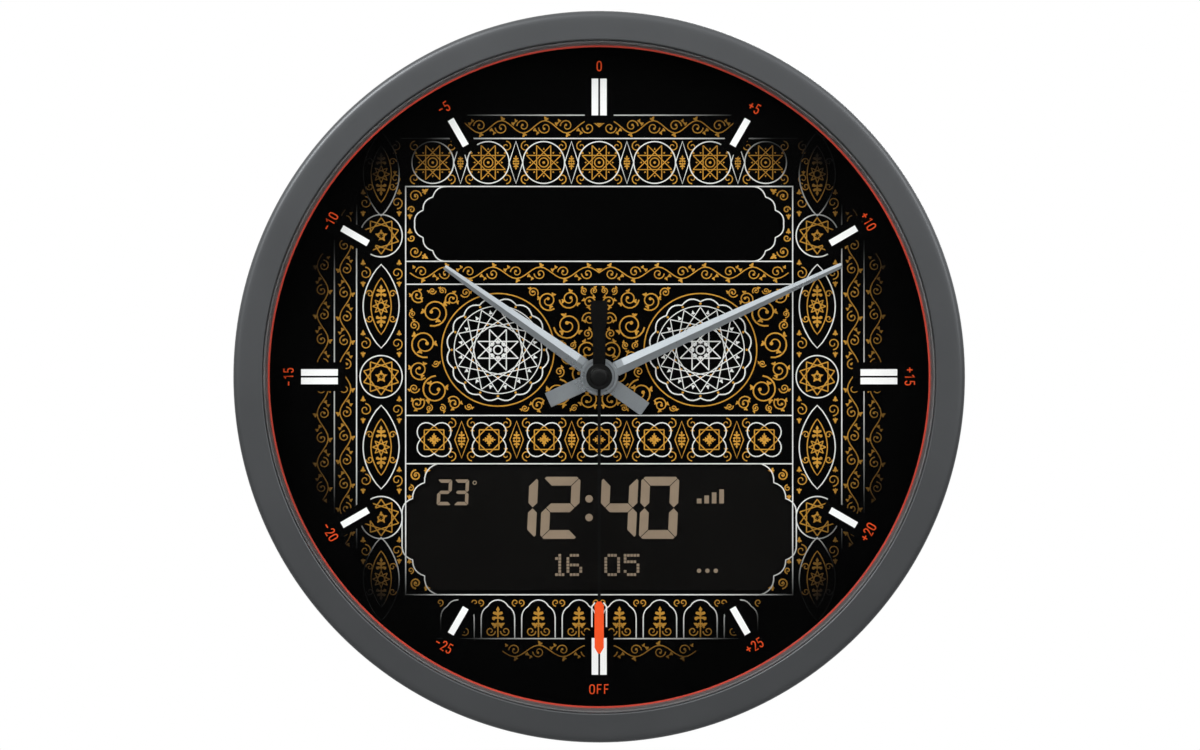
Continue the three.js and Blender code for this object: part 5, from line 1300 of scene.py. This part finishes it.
def screwing():
    """Sets a screw at each point of a ring."""
    tree, given = geometry("screw_ring", Screw="Geometry", Count="Int", Radius="Float", Level="Float",
                           First="Float", Finish="Material")
    points = wire(tree, "MeshLine", Count=given["Count"], Offset=(0.0, 0.0, 0.0), mode="OFFSET")
    share = sums(tree, "DIVIDE", wire(tree, "InputIndex"), given["Count"])
    angle = sums(tree, "ADD", sums(tree, "MULTIPLY", share, math.tau), given["First"])
    across = sums(tree, "MULTIPLY", given["Radius"], sums(tree, "SINE", angle))
    up = sums(tree, "MULTIPLY", given["Radius"], sums(tree, "COSINE", angle))
    place = wire(tree, "CombineXYZ", across, given["Level"], up)
    turn = wire(tree, "CombineXYZ", Y=sums(tree, "MULTIPLY", angle, 3.7))
    spots = wire(tree, "SetPosition", points, Position=place)
    turned_by = wire(tree, "EulerToRotation", turn)
    driven = wire(tree, "InstanceOnPoints", spots, Instance=given["Screw"], Rotation=turned_by)
    return ended(tree, driven, given["Finish"])


shank = plug(((-1.7, 0), (-15.2, 0), (-15.9, -0.7)), circle, 0, 0, 1.3)
screws = grown("case_screws", gathered("case_screw", [screw_head(2.9, 1.7, 0.36), shank]), screwing(), {
    "Count": SCREWS, "Radius": SCREW_RADIUS * MM, "Level": extent("case_screw_1")[1][1] * MM,
    "First": math.radians(SCREW_ANGLE), "Finish": plated_steel}, slot="steel", smooth=30)
for number in range(1, SCREWS + 1):
    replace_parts(screws, f"case_screw_{number}")

# Studio. A pale floor that fades into white surroundings, three soft lamps, and the camera straight
# in front, as in the photograph.
FLOOR_Z, FLOOR_HALF = -400, 6000
floor_paint, tree, shader = shaded("floor_paint")
corners = [(x * FLOOR_HALF, y * FLOOR_HALF, FLOOR_Z) for x, y in ((-1, -1), (1, -1), (1, 1), (-1, 1))]
floor = placed("floor", mesh_of("floor", corners, (), [(0, 1, 2, 3)], floor_paint))
feed(shader, (0.86, 0.86, 0.86, 1.0), Roughness=0.8, Specular_IOR_Level=0.1)
place = wire(tree, "TexCoord").outputs["Object"]
away = wire(tree, "VectorMath", place, operation="LENGTH").outputs["Value"]
far = wire(tree, "MapRange", away, 0.5, 1.5, interpolation_type="SMOOTHSTEP")
seen = wire(tree, "LightPath").outputs["Is Camera Ray"]
glow = wire(tree, "Emission", Strength=1.0)
both = wire(tree, "MixShader", sums(tree, "MULTIPLY", far, seen), shader, glow)
feed(tree.nodes["Material Output"], both)
floor.visible_glossy = False

world = bpy.data.worlds.new("surroundings")
world.use_nodes = True
bpy.context.scene.world = world
tree = world.node_tree
ray = wire(tree, "LightPath").outputs
look = wire(tree, "SeparateXYZ", wire(tree, "TexCoord").outputs["Generated"]).outputs
behind = wire(tree, "MapRange", look[1], 0.35, 0.9, interpolation_type="SMOOTHSTEP")
mirror_ray = sums(tree, "MAXIMUM", ray["Is Glossy Ray"], ray["Is Transmission Ray"])
white_share = sums(tree, "MAXIMUM", ray["Is Camera Ray"], sums(tree, "MULTIPLY", mirror_ray, behind))
height = wire(tree, "MapRange", look[2], -0.15, 0.45, 0.17, 0.95, interpolation_type="SMOOTHSTEP")
card = wire(tree, "MapRange", look[1], -0.994, -0.97, 0.8, 0.0)
shade = sums(tree, "SUBTRACT", 1.0, sums(tree, "MULTIPLY", card, mirror_ray))
strength = wire(tree, "Mix", white_share, sums(tree, "MULTIPLY", height, shade), 1.0)
feed(tree.nodes["Background"], (1.0, 1.0, 1.0, 1.0), strength)


def lamp(name, place, aim, size, power):
    """A soft round lamp that points at a place."""
    light = bpy.data.lights.new(name, "AREA")
    light.shape = "DISK"
    light.size = size
    light.energy = power
    holder = placed(name, light)
    holder.location = place
    way = Vector([b - a for a, b in zip(place, aim)])
    holder.rotation_euler = way.to_track_quat("-Z", "Y").to_euler()
    holder.visible_camera = False


lamp("key_lamp", (-1.25, -1.3, 1.4), (0, -0.03, 0), 1.0, 26.5)
lamp("fill_lamp", (1.5, -1.5, 0.9), (0, -0.03, 0), 1.2, 10)
lamp("back_lamp", (0.6, 1.6, 0.9), (0, 0, 0), 1.2, 20)

# The camera's place in the photograph, a hair to the right of the middle and above it
PHOTO_PLACE = (0.00037, -2.074, 0.00077)
camera = bpy.data.cameras.new("photo_camera")
camera.lens = 135
camera.sensor_width = 36
camera.clip_start = 0.01
viewer = placed("photo_camera", camera)
viewer.location = PHOTO_PLACE
viewer.rotation_euler = (math.radians(90), 0, 0)
bpy.context.scene.camera = viewer
bpy.context.scene.view_settings.view_transform = "Standard"
